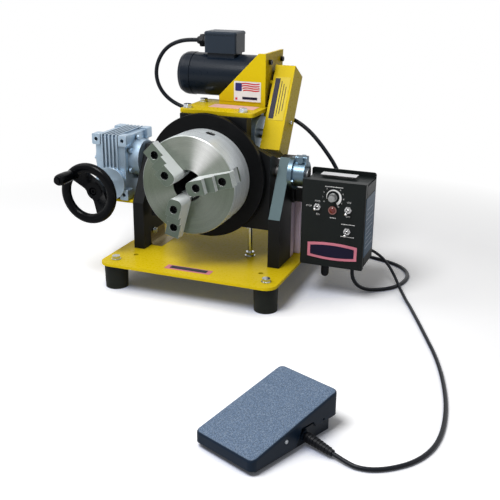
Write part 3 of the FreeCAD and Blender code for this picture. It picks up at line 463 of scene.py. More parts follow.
def turned_steel(finish, axis_height):
    """Lathe-turned steel whose rings are centred on the spindle, with a painted sheen fanning out over its
    face, its round sides painted far lighter than its face as a painted highlight, and painted shade in its
    bore.
    """
    tree, shader, place = start_material("turned chuck steel", Anisotropic=0.7, Anisotropic_Rotation=0.25)
    centred = counted_from(tree, place, (0, 0, -axis_height))
    axes = axes_of(tree, centred)
    marks = use_group(tree, "Turning", {"Vector": centred, "Pitch": 1500.0})
    # painted sheen: the face's dark steel turns near white where the fan is bright
    face = blend_colours(tree, sheen_fan(tree, axes), finish.chuck_steel, (0.95, 0.96, 0.94))
    # painted highlight: round sides, which don't face forwards, take a near white instead of the face's dark
    # steel
    tone = blend_colours(tree, facing_front(tree), (0.90, 0.96, 0.99), face)
    # painted shade: near black inside the bore's radius
    bore_shade = below(tree, distance_from_y(tree, axes), CHUCK_BORE)
    tone = blend_colours(tree, bore_shade, tone, (0.012, 0.012, 0.012))
    tone = blend_colours(tree, marks["Mask"], tone, scaled(tree, tone, 0.50))
    dress(tree, shader, tone, spread(tree, marks["Height"], 0.22, 0.35),
          spread(tree, facing_front(tree), 0.30, 1.0))
    tangent = add(tree, "Tangent", direction_type="RADIAL", axis="Y").outputs[0]
    tree.links.new(tangent, shader.inputs["Tangent"])
    bump(tree, shader, marks["Height"], 0.00001, 0.0006)


JAW_TURN = math.radians(15)
JAW_HOLES = ((40.0, -208.2), (87.0, -185.2))      # radius of each counterbore, and where it starts along Y
JAW_HOLE_R = 8.7 * MM


def fine_lines(tree, place):
    """Lines of a surface grinder, along X."""
    drawn = add(tree, "Mapping", {"Vector": place, "Scale": (300, 1500, 1500)}).outputs[0]
    return noise(tree, drawn, 1.0, 3.0)


def jaw_holes(tree, axes):
    """A mask of the jaws' counterbores, worked out once for the three of them."""
    third = math.pi / 3
    angle = math_node(tree, "SUBTRACT", angle_about_y(tree, axes), JAW_TURN)
    folded = add(tree, "Math", {0: angle, 1: third, 2: -third}, operation="WRAP").outputs[0]
    radius = distance_from_y(tree, axes)
    along = times(tree, radius, math_node(tree, "COSINE", folded))
    across = times(tree, radius, math_node(tree, "SINE", folded))
    mask = 0.0
    for reach, level in JAW_HOLES:
        beside = add(tree, "CombineXYZ", {0: math_node(tree, "SUBTRACT", along, reach * MM), 1: across})
        near = below(tree, length_of(tree, beside.outputs[0]), JAW_HOLE_R)
        mask = math_node(tree, "MAXIMUM", times(tree, near, above(tree, axes[1], level * MM)), mask)
    return mask


def jaw_steel(axis_height):
    """Ground jaw steel: darker on its steps, which face forwards, painted bright on its flanks as a painted
    highlight, and near black down in its counterbores, where the screws are dark and their walls are given
    painted shade.
    """
    tree, shader, place = start_material("ground jaw steel")
    # near black in the counterbores: dark screws, and painted shade on the counterbore walls
    screws_and_hole_shade = jaw_holes(tree, axes_of(tree, counted_from(tree, place, (0, 0, -axis_height))))
    lines = fine_lines(tree, place)
    dull = drift(tree, place, (0.15, 0.185, 0.15), 60.0, 0.15)
    # painted highlight: flanks that don't face forwards take a near white, the forward steps a darker tone
    tone = blend_colours(tree, facing_front(tree), (0.86, 0.90, 0.90), dull)
    tone = rub_edges(tree, tone, (0.85, 0.88, 0.86), 0.0007, 2.0)
    dress(tree, shader, blend_colours(tree, screws_and_hole_shade, tone, (0.012, 0.013, 0.014)),
          spread(tree, lines, 0.24, 0.40), spread(tree, facing_front(tree), 0.20, 1.0))
    bump(tree, shader, lines, 0.000012, 0.0006)


def ground_steel(name, tint, roughness):
    """Ground steel with fine lines along X."""
    tree, shader, place = start_material(name, Metallic=1.0)
    lines = fine_lines(tree, place)
    tone = rub_edges(tree, drift(tree, place, tint, 60.0, 0.12), (0.85, 0.86, 0.84), 0.0006, 1.6)
    dress(tree, shader, tone, spread(tree, lines, roughness - 0.06, roughness + 0.1))
    bump(tree, shader, lines, 0.000012, 0.0006)


def bright_plate(name, tint, roughness):
    """Bright plating on fasteners and fittings."""
    tree, shader, place = start_material(name, Metallic=1.0)
    grain = grained(tree, place, 500.0, roughness - 0.04, roughness + 0.06)
    dress(tree, shader, drift(tree, place, tint, 90.0, 0.15), grain["Value"])
    bump(tree, shader, grain["Height"], 0.00002, 0.0005)
    return bpy.data.materials[name]


def bolt_finish():
    """Bright zinc, with the motor flange's cap screws left black."""
    material = bright_plate("zinc and black bolts", (0.60, 0.64, 0.68), 0.22)
    tree = material.node_tree
    across = axes_of(tree, add(tree, "TexCoord").outputs["Object"])[0]
    near, far = FLANGE_SCREWS
    flange = times(tree, above(tree, across, near), below(tree, across, far))
    overlay(material, flange, (0.02, 0.02, 0.024))


def moulded(name, tint, roughness, depth=0.00003, scale=500.0, coat=0.0, shine=0.5):
    """Moulded plastic or rubber with a fine surface grain."""
    tree, shader, place = start_material(name, Coat_Weight=coat, Coat_Roughness=0.08,
                                         Specular_IOR_Level=shine)
    grain = grained(tree, place, scale, roughness - 0.05, roughness + 0.08)
    dress(tree, shader, drift(tree, place, tint, 25.0, 0.12), grain["Value"])
    bump(tree, shader, grain["Height"], depth, 0.0008)
    return bpy.data.materials[name]


def sticker_sheet(name, tint, roughness=0.35):
    """Printed vinyl, a little uneven under the light."""
    return moulded(name, tint, roughness, 0.00001, 300.0, 0.0, 0.12)


def wrinkle_slate(finish):
    """Speckled wrinkle finish of the pedal's tread, dark where the cover turns down at its sides."""
    tree, shader, place = start_material("slate wrinkle finish", Specular_IOR_Level=0.20)
    fleck = flecked(tree, place, 520.0, 0.6)
    fine = grained(tree, place, 900.0, 0.0, 1.0)
    light = [min(1.0, 1.75 * part) for part in finish.pedal_slate]
    deep = [0.28 * part for part in finish.pedal_slate]
    tread = blend_colours(tree, fine["Value"], deep, light)
    tread = blend_colours(tree, times(tree, fleck["Mask"], 0.55), tread, (0.50, 0.58, 0.66))
    up = spread(tree, normal_axes(tree)[2], 0.0, 1.0, 0.72, 0.90)
    tone = blend_colours(tree, up, drift(tree, place, (0.004, 0.014, 0.032), 30.0), tread)
    dress(tree, shader, tone, spread(tree, up, 0.33, 0.62))
    bump(tree, shader, times(tree, fine["Height"], up), 0.00035, 0.0022)


def pedal_base_paint():
    """Dark blue base pan, with its hinge pin left bright."""
    tree, shader, place = start_material("pedal base paint", Specular_IOR_Level=0.35)
    back = Matrix.Rotation(-PEDAL_YAW, 3, "Z")
    along = counted_from(tree, place, -(back @ PEDAL_PIN), Rotation=(0, 0, -PEDAL_YAW))
    pin = below(tree, distance_from_y(tree, axes_of(tree, along)), 3.3 * MM)
    pan = drift(tree, place, (0.006, 0.014, 0.028), 30.0)
    grain = grained(tree, place, 500.0, 0.32, 0.46)
    dress(tree, shader, blend_colours(tree, pin, pan, (0.62, 0.66, 0.70)), grain["Value"], pin)
    bump(tree, shader, grain["Height"], 0.00003, 0.0008)


def lamp_lens():
    """Red lens in its bright bezel; the bezel stands outside the lens's radius."""
    tree, shader, place = start_material("red lens", Coat_Weight=0.6, Coat_Roughness=0.05)
    low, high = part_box("pilot_lamp")
    at = (low + high) / 2
    axes = axes_of(tree, counted_from(tree, place, (-at.x, 0, -at.z)))
    bezel = spread(tree, distance_from_y(tree, axes), 0.0, 1.0, 0.0063, 0.0066)
    glow = drift(tree, place, (0.15, 0.010, 0.009), 300.0, 0.3)
    tone = blend_colours(tree, bezel, glow, (0.34, 0.15, 0.13))
    dress(tree, shader, tone, spread(tree, bezel, 0.16, 0.28), bezel)


def woven_earth():
    """Flat braided copper: crossing strands picked out in light and shade."""
    tree, shader, place = start_material("braided copper", Metallic=0.8)
    axes = axes_of(tree, place)
    down = math_node(tree, "SUBTRACT", axes[0], axes[2])
    heights = []
    for way in (0.8, -0.8):
        slant = math_node(tree, "ADD", axes[1], times(tree, down, way))
        heights.append(math_node(tree, "SINE", times(tree, slant, 2600.0)))
    weave = spread(tree, math_node(tree, "MAXIMUM", *heights), 0.0, 1.0, -0.4, 1.0)
    strand = blend_colours(tree, weave, (0.035, 0.026, 0.008), (0.30, 0.23, 0.09))
    dress(tree, shader, strand, grained(tree, place, 900.0, 0.30, 0.46)["Value"])
    bump(tree, shader, weave, 0.0002)


# ---------------------------------------------------------------- shapes
def put(name, data):
    """Put new data into the scene as an object."""
    piece = bpy.data.objects.new(name, data)
    bpy.context.scene.collection.objects.link(piece)
    return piece


def finish_piece(name, builder, body, material):
    """Turn a finished bmesh into a piece that rides on a body."""
    mesh = bpy.data.meshes.new(name)
    bmesh.ops.recalc_face_normals(builder, faces=builder.faces)
    builder.to_mesh(mesh)
    builder.free()
    piece = put(name, mesh)
    mesh.materials.append(material)
    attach(piece, body)


def side_frame(origin, right, up):
    """A matrix whose X runs right and Y up over a face, with Z standing out of it."""
    x = Vector(right).normalized()
    y = Vector(up).normalized()
    z = x.cross(y)
    matrix = Matrix((x, y, z)).transposed().to_4x4()
    matrix.translation = Vector(origin)
    return matrix


def on_top(x, y, z):
    """A place on a level face, read from the front."""
    return side_frame((x, y, z), (1, 0, 0), (0, 1, 0))


def on_front(x, y, z):
    """A place on an upright face that looks forwards."""
    return side_frame((x, y, z), (1, 0, 0), (0, 0, 1))


def on_right(x, y, z):
    """A place on an upright face that looks to the right."""
    return side_frame((x, y, z), (0, 1, 0), (0, 0, 1))


def shifted(place, x, y, out=0.0):
    """A place moved over its own face, and out of it."""
    return place @ Matrix.Translation((x, y, out))


def slab(builder, width, height, thick, place, corner=0.0):
    """A thin plate centred on its place, its upright edges rounded."""
    made = bmesh.ops.create_cube(builder, size=1.0)["verts"]
    bmesh.ops.scale(builder, vec=(width, height, thick), verts=made)
    bmesh.ops.translate(builder, vec=(0, 0, thick / 2), verts=made)
    edges = [e for e in {edge for vert in made for edge in vert.link_edges}
             if abs(e.verts[0].co.z - e.verts[1].co.z) > thick / 2]
    if corner:
        cut = bmesh.ops.bevel(builder, geom=edges, offset=corner, offset_type="OFFSET", affect="EDGES",
                              segments=4, profile=0.5, material=-1)
        made = list({vert for face in cut["faces"] for vert in face.verts} | {v for v in made if v.is_valid})
    bmesh.ops.transform(builder, matrix=place, verts=made)


def plate_piece(name, width, height, place, body, material, corner=0.002, thick=SHEET):
    builder = bmesh.new()
    slab(builder, width, height, thick, place, corner)
    finish_piece(name, builder, body, material)


def thicken(builder, faces, thick):
    """Give flat faces a thickness along Z; gives the raised corners."""
    made = bmesh.ops.extrude_face_region(builder, geom=faces)["geom"]
    raised = [item for item in made if isinstance(item, bmesh.types.BMVert)]
    bmesh.ops.translate(builder, vec=(0, 0, thick), verts=raised)
    return raised


def outline_plate(builder, points, thick, place):
    """A thin plate of any outline, given in its own plane."""
    verts = [builder.verts.new((x, y, 0)) for x, y in points]
    raised = thicken(builder, [builder.faces.new(verts)], thick)
    bmesh.ops.transform(builder, matrix=place, verts=verts + raised)


def on_circle(radius, angle):
    """A point on a circle round the origin, its angle in degrees."""
    return radius * math.cos(math.radians(angle)), radius * math.sin(math.radians(angle))


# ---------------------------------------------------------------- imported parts
NODE_FINISH = {
    "golden enamel": ("base_plate", "gearbox_shelf", "top_plate", "motor_bracket", "chain_guard"),
    "satin black paint": ("upright_left", "upright_right", "head_frame"),
    "box bracket paint": ("box_bracket",),
    "black oxide disc": ("face_disc",),
    "navy motor paint": ("motor_body", "motor_end_bell"),
    "slate junction box paint": ("junction_box",),
    "textured powder coat": ("control_chassis", "control_cover"),
    "blasted die casting": ("tilt_gearbox", "tilt_gearbox_cover", "spindle_gearbox", "spindle_gearbox_cover"),
    "turned chuck steel": ("chuck_body", "chuck_backplate"),
    "ground jaw steel": ("jaw_1", "jaw_2", "jaw_3"),
    "plain steel": ("trunnion_shafts", "tilt_worm", "spindle_bearings", "drive_chain", "spindle_worm",
                    "large_sprocket", "motor_sprocket"),
    "dark steel": ("spindle", "scroll_plate", "pinion_1", "pinion_2", "pinion_3"),
    "bronze": ("tilt_worm_wheel", "spindle_worm_wheel"),
    "bright zinc": ("base_bolts",),
    "zinc and black bolts": ("head_bolts",),
    "dull collar steel": ("clamp_collar",),
    "nickel": ("toggle_bushings", "toggle_lever_1", "toggle_lever_2", "toggle_lever_3"),
    "red lens": ("pilot_lamp",),
    "gloss black moulding": ("handwheel", "handwheel_grip"),
    "black nylon": ("box_fittings", "motor_gland", "mains_plug", "pedal_strain_relief"),
    "foot rubber": ("feet",),
    "knob cap": ("speed_knob",),
    "slate wrinkle finish": ("pedal_cover",),
    "pedal base paint": ("pedal_base",),
}


def make_materials(finish):
    for build in (build_tone_drift, build_grain, build_flecks, build_turning, build_edge_wear):
        build()
    for paint in (golden_enamel, satin_black_paint, bracket_paint, plain_paints, panel_coat, cast_aluminium,
                  wrinkle_slate):
        paint(finish)
    spindle_height = sum(corner.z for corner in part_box("spindle")) / 2
    turned_steel(finish, spindle_height)
    jaw_steel(spindle_height)
    ground_steel("plain steel", (0.45, 0.45, 0.45), 0.30)
    ground_steel("dark steel", (0.06, 0.065, 0.075), 0.34)
    ground_steel("bronze", (0.50, 0.30, 0.10), 0.35)
    bright_plate("bright zinc", (0.58, 0.62, 0.66), 0.22)
    bright_plate("dull collar steel", (0.15, 0.22, 0.28), 0.34)
    bright_plate("nickel", (0.52, 0.51, 0.46), 0.20)
    bright_plate("knob cap", (0.42, 0.43, 0.43), 0.3)
    bolt_finish()
    lamp_lens()
    pedal_base_paint()
    woven_earth()
    moulded("gloss black moulding", (0.002, 0.0024, 0.0034), 0.22, 0.00002, 300.0, 0.04, 0.08)
    moulded("black nylon", (0.006, 0.007, 0.010), 0.42, shine=0.2)
    moulded("foot rubber", (0.011, 0.013, 0.010), 0.50, 0.00006, 350.0, shine=0.2)
    moulded("black cord jacket", (0.004, 0.006, 0.011), 0.34, 0.00002, 700.0, shine=0.25)


class POSITIONER_OT_paint_parts(Operator):
    """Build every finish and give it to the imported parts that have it"""
    bl_idname = "positioner.paint_parts"
    bl_label = "Paint parts"

    def execute(self, context):
        make_materials(context.scene.positioner_finish)
        for name, nodes in NODE_FINISH.items():
            for node in nodes:
                part = NODES[node]
                part.data.materials.clear()
                part.data.materials.append(bpy.data.materials[name])
        return {"FINISHED"}


# ---------------------------------------------------------------- cords
MOTOR_ROUTE = [(-89, 88, 446), (-112, 88, 446), (-141, 88, 440), (-166, 88, 427), (-185, 89, 405),
               (-196, 90, 377), (-195, 92, 348), (-183, 97, 322), (-161, 103, 302), (-130, 109, 289),
               (-92, 112, 287.5), (-50, 115, 289), (-6, 116, 292), (38, 115, 294), (80, 111, 292),
               (106, 107, 291), (131, 101, 286), (155, 98, 275), (177, 96, 259), (196, 94, 240.5),
               (212.5, 92, 222), (227, 91, 204), (238, 90.5, 187), (246, 89.5, 170), (252, 83, 154),
               (256, 70, 141), (258.5, 54, 134.6), (259, 37.2, 134)]
PEDAL_ROUTE = [(318, 37.4, 29), (318, 48, 28), (321.5, 60, 24.5), (329.5, 70, 19), (341, 75.5, 11.5),
               (354, 75, 3), (366.5, 69, -6), (378, 59.5, -15), (388.5, 47.5, -24), (398, 34, -32.5),
               (408, 18.5, -40.5), (418.5, 1, -46.5), (429, -19, -49.8), (441, -44, -50), (454, -75, -50),
               (473, -120, -50), (500, -186, -50), (526, -250, -50), (548, -320, -50), (564, -388, -50),
               (573, -446, -50), (576, -504, -50), (570, -552, -50), (552, -592, -50), (525, -619, -50),
               (501, -633, -50), (478, -637, -49.5), (457, -629.8, -47.2), (440, -622.6, -45)]
MAINS_ROUTE = [(311, -20, 4), (311, -20, -8), (315, -17, -24), (325, -9, -38.5), (340, 3, -47.5),
               (358, 16, -50), (380, 32, -50), (397, 58, -50), (405, 92, -50), (405, 127, -50),
               (393, 158, -50), (371, 182, -50), (340, 199, -50), (300, 213, -50), (254, 223, -50),
               (206, 226, -50), (158, 220, -50), (124, 213, -50), (100, 210, -50)]
# The put-away coil: laps from its start, radius and height there.
COIL_SIZES = [(0.0, 52, -50), (1.0, 44.5, -50), (1.9, 37, -50), (2.15, 36, -42), (4.0, 51, -42),
              (4.25, 52, -43)]
COIL_STEPS = 14                   # control points in each lap
TAIL_Z = -43.0


def metres(points):
    return [Vector(point) * MM for point in points]


def cord_curve(name, points, diameter):
    """A round cord along a smooth open spline whose control points are the route's."""
    curve = bpy.data.curves.new(name, "CURVE")
    curve.dimensions = "3D"
    spline = curve.splines.new("NURBS")
    spline.points.add(len(points) - 1)
    for point, place in zip(spline.points, points):
        point.co = (*place, 1.0)
    spline.order_u = 3
    spline.use_endpoint_u = True
    spline.resolution_u = 8
    curve.bevel_depth = diameter / 2
    curve.bevel_resolution = 4
    curve.use_fill_caps = True
    curve.materials.append(bpy.data.materials["black cord jacket"])
    return put(name, curve)


def cord_piece(name, points, diameter, body, nodes):
    """A cord that keeps its shape and rides on one body."""
    piece = cord_curve(name, points, diameter)
    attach(piece, body)
    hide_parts(*nodes)
    return piece


def bending_cord(name, points, diameter, nodes):
    """A cord as a mesh tube laid in place, and the line that the tube follows."""
    round_cord = cord_curve(name + "_spline", points, diameter)
    tube = bpy.data.meshes.new_from_object(round_cord)
    round_cord.data.bevel_depth = 0
    line = bpy.data.meshes.new_from_object(round_cord)
    path = [tuple(vertex.co) for vertex in line.vertices]
    bpy.data.meshes.remove(line)
    bpy.data.objects.remove(round_cord)
    piece = put(name, tube)
    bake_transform(piece)
    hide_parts(*nodes)
    return piece, path


def coil_points():
    """Control points of the put-away coil: laps run inwards on the floor, then outwards on top of them."""
    low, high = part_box("mains_coil")
    centre = (low + high) / 2
    points = []
    for k in range(round(COIL_SIZES[-1][0] * COIL_STEPS) + 1):
        lap = k / COIL_STEPS
        for (start, r0, z0), (end, r1, z1) in zip(COIL_SIZES, COIL_SIZES[1:]):
            if start <= lap <= end + 1e-6:
                share = (lap - start) / (end - start)
                radius, height = r0 + (r1 - r0) * share, z0 + (z1 - z0) * share
        x, y = on_circle(radius * MM, -90 - 360 * lap)
        points.append(Vector((centre.x + x, centre.y + y, height * MM)))
    low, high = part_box("mains_plug")
    return points + metres([(30.0, 282.0, TAIL_Z), ((low.x + high.x) / 2 / MM, 302.5, TAIL_Z)])


class POSITIONER_OT_run_cords(Operator):
    """Run the motor cord, the pedal cord and the mains lead with its put-away coil"""
    bl_idname = "positioner.run_cords"
    bl_label = "Run cords"

    def execute(self, context):
        sizes = context.scene.positioner_cords
        motor = metres(MOTOR_ROUTE)
        piece, path = bending_cord("motor_cord_run", motor, sizes.motor,
                                   ["motor_cord"])
        pedal = metres(PEDAL_ROUTE)
        piece = cord_piece("pedal_cord_run", pedal, sizes.pedal, "base", ["pedal_cord"])
        mains = metres(MAINS_ROUTE)
        piece = cord_piece("mains_lead", mains + coil_points(), sizes.mains, "base",
                           ["mains_cord", "mains_coil"])
        return {"FINISHED"}


# ---------------------------------------------------------------- plates and stickers
GUARD_LEAN, GUARD_CORNER = math.radians(29.8), Vector((99, -20, 242)) * MM


def box_front_place(x, z, out=0.0):
    """A place on the control box's front, in millimetres of the part frame."""
    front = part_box("control_cover")[0].y
    return on_front(x * MM, front - out * MM, z * MM)


class POSITIONER_OT_fit_plates(Operator):
    """Fit the bare plates and stickers on the base, top plate, bracket, guard, control box and upright"""
    bl_idname = "positioner.fit_plates"
    bl_label = "Fit plates"

    def execute(self, context):
        rose = sticker_sheet("rose vinyl", (0.66, 0.21, 0.28))
        dark = sticker_sheet("ink black vinyl", (0.012, 0.010, 0.03))
        white = sticker_sheet("white vinyl", (0.78, 0.78, 0.80))
        self.base_sticker(rose, dark)
        self.top_sticker()
        self.bracket_sticker(white, dark)
        self.guard_sticker(dark)
        self.box_badge(rose, dark)
        self.box_side_plate()
        self.box_top_strip(white)
        self.post_facing()
        return {"FINISHED"}

    def base_sticker(self, rose, dark):
        """Bare rose sticker with a dark field, by the base plate's front edge."""
        x, top = -1 * MM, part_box("base_plate")[1].z
        sheet = on_top(x, -163 * MM, top)
        plate_piece("base_sticker", 0.103, 0.022, sheet, "base", rose, 0.0015)
        field = on_top(x, -162 * MM, top + SHEET)
        plate_piece("base_sticker_band", 0.083, 0.014, field, "base", dark, 0.0015, INK)

    def top_sticker(self):
        pale = sticker_sheet("pale rose vinyl", (0.80, 0.48, 0.46))
        sheet = on_top(29 * MM, 9 * MM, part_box("top_plate")[1].z)
        plate_piece("top_sticker", 0.102, 0.038, sheet, "head", pale, 0.0015)

    def bracket_sticker(self, white, dark):
        """White sticker with generic marks: wavy red bands at the right, a blue field, a dark bar."""
        sheet = on_front(21 * MM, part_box("motor_bracket")[0].y, 329 * MM)
        plate_piece("bracket_sticker", 0.061, 0.042, shifted(sheet, 0.0305, 0.021), "head", white,
                    0.001)
        builder = bmesh.new()
        for k in range(4):
            self.wavy_band(builder, sheet, 0.021 - 0.0015 * k, 0.058, 0.0215 + 0.0047 * k)
        slab(builder, 0.005, 0.005, INK, shifted(sheet, 0.0055, 0.005, SHEET))
        stripes = sticker_sheet("red stripe vinyl", (0.62, 0.05, 0.07))
        finish_piece("bracket_sticker_bands", builder, "head", stripes)
        blue = sticker_sheet("deep blue vinyl", (0.03, 0.03, 0.16))
        plate_piece("bracket_sticker_field", 0.015, 0.017, shifted(sheet, 0.0105, 0.030, SHEET), "head", blue,
                    0.002, INK)
        plate_piece("bracket_sticker_bar", 0.034, 0.0055, shifted(sheet, 0.036, 0.007, SHEET), "head", dark,
                    0.0005, INK)

    @staticmethod
    def wavy_band(builder, sheet, first, last, rise):
        """One narrow band that waves a little and climbs along its length."""
        steps, height, wave, climb = 12, 0.0026, 0.0011, 0.0015
        lower = []
        for k in range(steps + 1):
            x = first + (last - first) * k / steps
            lower.append((x, rise + wave * math.sin(2 * math.pi * k / steps) + climb * k / steps))
        upper = [(x, y + height) for x, y in reversed(lower)]
        outline_plate(builder, lower + upper, INK, shifted(sheet, 0, 0, SHEET))

    def guard_sticker(self, dark):
        """Bare sticker along the guard's leaning front, with a dark band and three thin dark lines."""
        up = Vector((0, math.sin(GUARD_LEAN), math.cos(GUARD_LEAN)))
        sheet = side_frame(GUARD_CORNER + up * 0.064, (1, 0, 0), up)
        middle = 0.048
        amber = sticker_sheet("amber vinyl", (0.72, 0.55, 0.03))
        plate_piece("guard_sticker", 0.034, 0.096, shifted(sheet, 0.022, middle), "head", amber,
                    0.0015)
        builder = bmesh.new()
        slab(builder, 0.011, 0.090, INK, shifted(sheet, 0.0115, middle, SHEET), 0.001)
        for k in range(3):
            slab(builder, 0.0014, 0.078 - 0.012 * k, INK, shifted(sheet, 0.0215 + 0.0055 * k, middle, SHEET))
        finish_piece("guard_sticker_bands", builder, "head", dark)

    def box_badge(self, rose, dark):
        """Bare badge with bowed long sides."""
        x, z, thick = 277.5, 53, 1.2
        builder = bmesh.new()
        outline_plate(builder, self.bowed(52, 14.5, 4), thick * MM, box_front_place(x, z))
        finish_piece("box_badge", builder, "base", rose)
        builder = bmesh.new()
        outline_plate(builder, self.bowed(46, 9.5, 3.5), SHEET, box_front_place(x, z, thick))
        finish_piece("box_badge_field", builder, "base", dark)

    @staticmethod
    def bowed(half_width, half_height, bow):
        """A rectangle whose long sides bow outwards, in metres."""
        radius = (half_width ** 2 + bow ** 2) / (2 * bow)
        reach = math.degrees(math.asin(half_width / radius))
        rise, steps, points = half_height + bow - radius, 16, []
        for middle, lift in ((90, rise), (270, -rise)):
            for k in range(steps + 1):
                x, y = on_circle(radius, middle - reach + 2 * reach * k / steps)
                points.append((x * MM, (y + lift) * MM))
        return points

    def box_side_plate(self):
        """Bare blue-grey plate on the box's right side, ruled with pale lines of uneven length."""
        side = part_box("control_cover")[1].x
        blue = sticker_sheet("blue-grey plate", (0.045, 0.10, 0.17), 0.3)
        pale = sticker_sheet("pale rule ink", (0.36, 0.44, 0.54))
        middle, foot, thick = -20, 45, 0.0008
        sheet = on_right(side, middle * MM, (foot + 62) * MM)
        plate_piece("box_side_plate", 0.076, 0.124, sheet, "base", blue, 0.002, thick)
        builder = bmesh.new()
        for k in range(9):
            short = k % 3
            place = on_right(side + thick, (middle - 2 * short) * MM, (foot + 18 + 10 * k) * MM)
            slab(builder, 0.062 - 0.008 * short, 0.0014 if k % 2 else 0.0026, INK, place)
        finish_piece("box_side_plate_rules", builder, "base", pale)

    def box_top_strip(self, white):
        """Bare pale strip on the box's lid."""
        sheet = on_top(270.5 * MM, -6 * MM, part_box("control_cover")[1].z)
        plate_piece("box_top_strip", 0.075, 0.024, sheet, "base", white, 0.001, 0.0003)

    def post_facing(self):
        """Pale strip down the right upright's outer side, beside the box's post."""
        lilac = sticker_sheet("lilac strip", (0.88, 0.72, 0.90), 0.4)
        sheet = on_right(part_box("upright_right")[1].x, 0.0, 67.5 * MM)
        plate_piece("upright_strip", 0.0198, 0.122, sheet, "base", lilac, 0.0005)


class POSITIONER_OT_fit_earth_strap(Operator):
    """Fit the flat braided earth strap at the foot of the left upright, with its bolt"""
    bl_idname = "positioner.fit_earth_strap"
    bl_label = "Fit earth strap"

    def execute(self, context):
        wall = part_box("upright_left")[1].x
        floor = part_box("base_plate")[1].z
        self.lay_strap(wall, floor)
        self.fit_bolt(side_frame((wall + 0.0021, -0.038, floor + 0.030), (0, 1, 0), (0, 0, 1)))
        return {"FINISHED"}

    @staticmethod
    def lay_strap(wall, floor):
        """A strap that runs down the wall and turns out over the floor."""
        first, width, thick = -0.054, 0.068, 0.0016
        line = [(0.0005, 0.032), (0.0005, 0.012), (0.0013, 0.006), (0.0040, 0.0022), (0.0080, 0.0006),
                (0.0270, 0.0006)]
        builder = bmesh.new()
        verts = [builder.verts.new((wall + out, first, floor + rise)) for out, rise in line]
        edges = [builder.edges.new(pair) for pair in zip(verts, verts[1:])]
        strip = bmesh.ops.extrude_edge_only(builder, edges=edges)["geom"]
        far_side = [item for item in strip if isinstance(item, bmesh.types.BMVert)]
        bmesh.ops.translate(builder, vec=(0, width, 0), verts=far_side)
        bmesh.ops.recalc_face_normals(builder, faces=builder.faces)
        bmesh.ops.solidify(builder, geom=builder.faces[:], thickness=-thick)
        finish_piece("earth_strap", builder, "base", bpy.data.materials["braided copper"])

    @staticmethod
    def fit_bolt(place):
        """A hexagon head on its washer."""
        head_r, head_h, washer_r, washer_h = 0.0062, 0.0040, 0.0078, 0.0012
        builder = bmesh.new()
        made = bmesh.ops.create_cone(builder, cap_ends=True, segments=6, radius1=head_r, radius2=head_r,
                                     depth=head_h)
        bmesh.ops.translate(builder, vec=(0, 0, (head_h + washer_h) / 2), verts=made["verts"])
        bmesh.ops.bevel(builder, geom=builder.edges[:], offset=0.0005, offset_type="OFFSET", affect="EDGES",
                        segments=2, profile=0.5, material=-1)
        bmesh.ops.create_cone(builder, cap_ends=True, segments=32, radius1=washer_r, radius2=washer_r,
                              depth=washer_h)
        bmesh.ops.transform(builder, matrix=place, verts=builder.verts)
        finish_piece("earth_bolt", builder, "base", bpy.data.materials["bright zinc"])


# ---------------------------------------------------------------- panel marks
PANEL_WORDS = {"ON": (308, 160), "OFF": (307.5, 130.5), "FWD": (243, 156.5), "STOP": (225, 145),
               "REV": (245, 129)}
BARE_MARKS = ((275, 189, 35), (276.6, 124.7, 13), (308, 114, 28), (307.6, 88, 27))    # middle, height, width
DASHES, DASH_GAP = (2.6, 1.8, 3.2, 2.2, 1.4, 2.8), 0.8
SCALE_R, NUMBER_R = 0.0130, 21.5


class POSITIONER_OT_mark_panel(Operator):
    """Print the speed scale round the knob, the words by the switches and the dashes of the bare headings"""
    bl_idname = "positioner.mark_panel"
    bl_label = "Mark panel"

    def execute(self, context):
        white = sticker_sheet("panel white ink", (0.80, 0.80, 0.80))
        low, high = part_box("speed_knob")
        knob_x, knob_z = (low.x + high.x) / 2 / MM, (low.z + high.z) / 2 / MM
        self.print_crescent(box_front_place(knob_x, knob_z), white)
        for figure in range(11):
            x, z = on_circle(NUMBER_R, 210 - 27 * figure)
            place = box_front_place(knob_x + x, knob_z + z)
            self.print_word("speed_%d" % figure, str(figure), place, 0.0032, white)
        for word, (x, z) in PANEL_WORDS.items():
            self.print_word("word_" + word.lower(), word, box_front_place(x, z), 0.0038, white)
        self.print_dashes(white)
        return {"FINISHED"}

    @staticmethod
    def print_dashes(white):
        """Rows of uneven dashes."""
        builder = bmesh.new()
        for x, z, wide in BARE_MARKS:
            at, k = x - wide / 2, 0
            while at < x + wide / 2:
                dash = DASHES[k % len(DASHES)]
                slab(builder, dash * MM, 0.0015, INK, box_front_place(at + dash / 2, z))
                at, k = at + dash + DASH_GAP, k + 1
        finish_piece("panel_marks", builder, "base", white)

    @staticmethod
    def print_crescent(place, white):
        """A crescent that widens clockwise round the knob."""
        first, last, steps, thin, grows = 200, -60, 39, 0.0006, 0.0050
        builder = bmesh.new()
        inner, outer = [], []
        for k in range(steps + 1):
            angle = first + (last - first) * k / steps
            inner.append(builder.verts.new((*on_circle(SCALE_R, angle), 0)))
            outer.append(builder.verts.new((*on_circle(SCALE_R + thin + grows * k / steps, angle), 0)))
        faces = [builder.faces.new((inner[k], inner[k + 1], outer[k + 1], outer[k])) for k in range(steps)]
        thicken(builder, faces, INK)
        bmesh.ops.transform(builder, matrix=place, verts=builder.verts)
        finish_piece("speed_crescent", builder, "base", white)

    @staticmethod
    def print_word(name, word, place, height, ink):
        """A word or figure, a little raised."""
        text = bpy.data.curves.new(name, "FONT")
        text.body = word
        text.size = height * 1.35
        text.align_x = "CENTER"
        text.align_y = "CENTER"
        text.extrude = INK / 2
        text.resolution_u = 3
        holder = put(name + "_text", text)
        bpy.context.view_layer.update()
        mesh = bpy.data.meshes.new_from_object(holder)
        bpy.data.objects.remove(holder)
        mesh.transform(place)
        mesh.materials.clear()
        mesh.materials.append(ink)
        piece = put(name, mesh)
        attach(piece, "base")


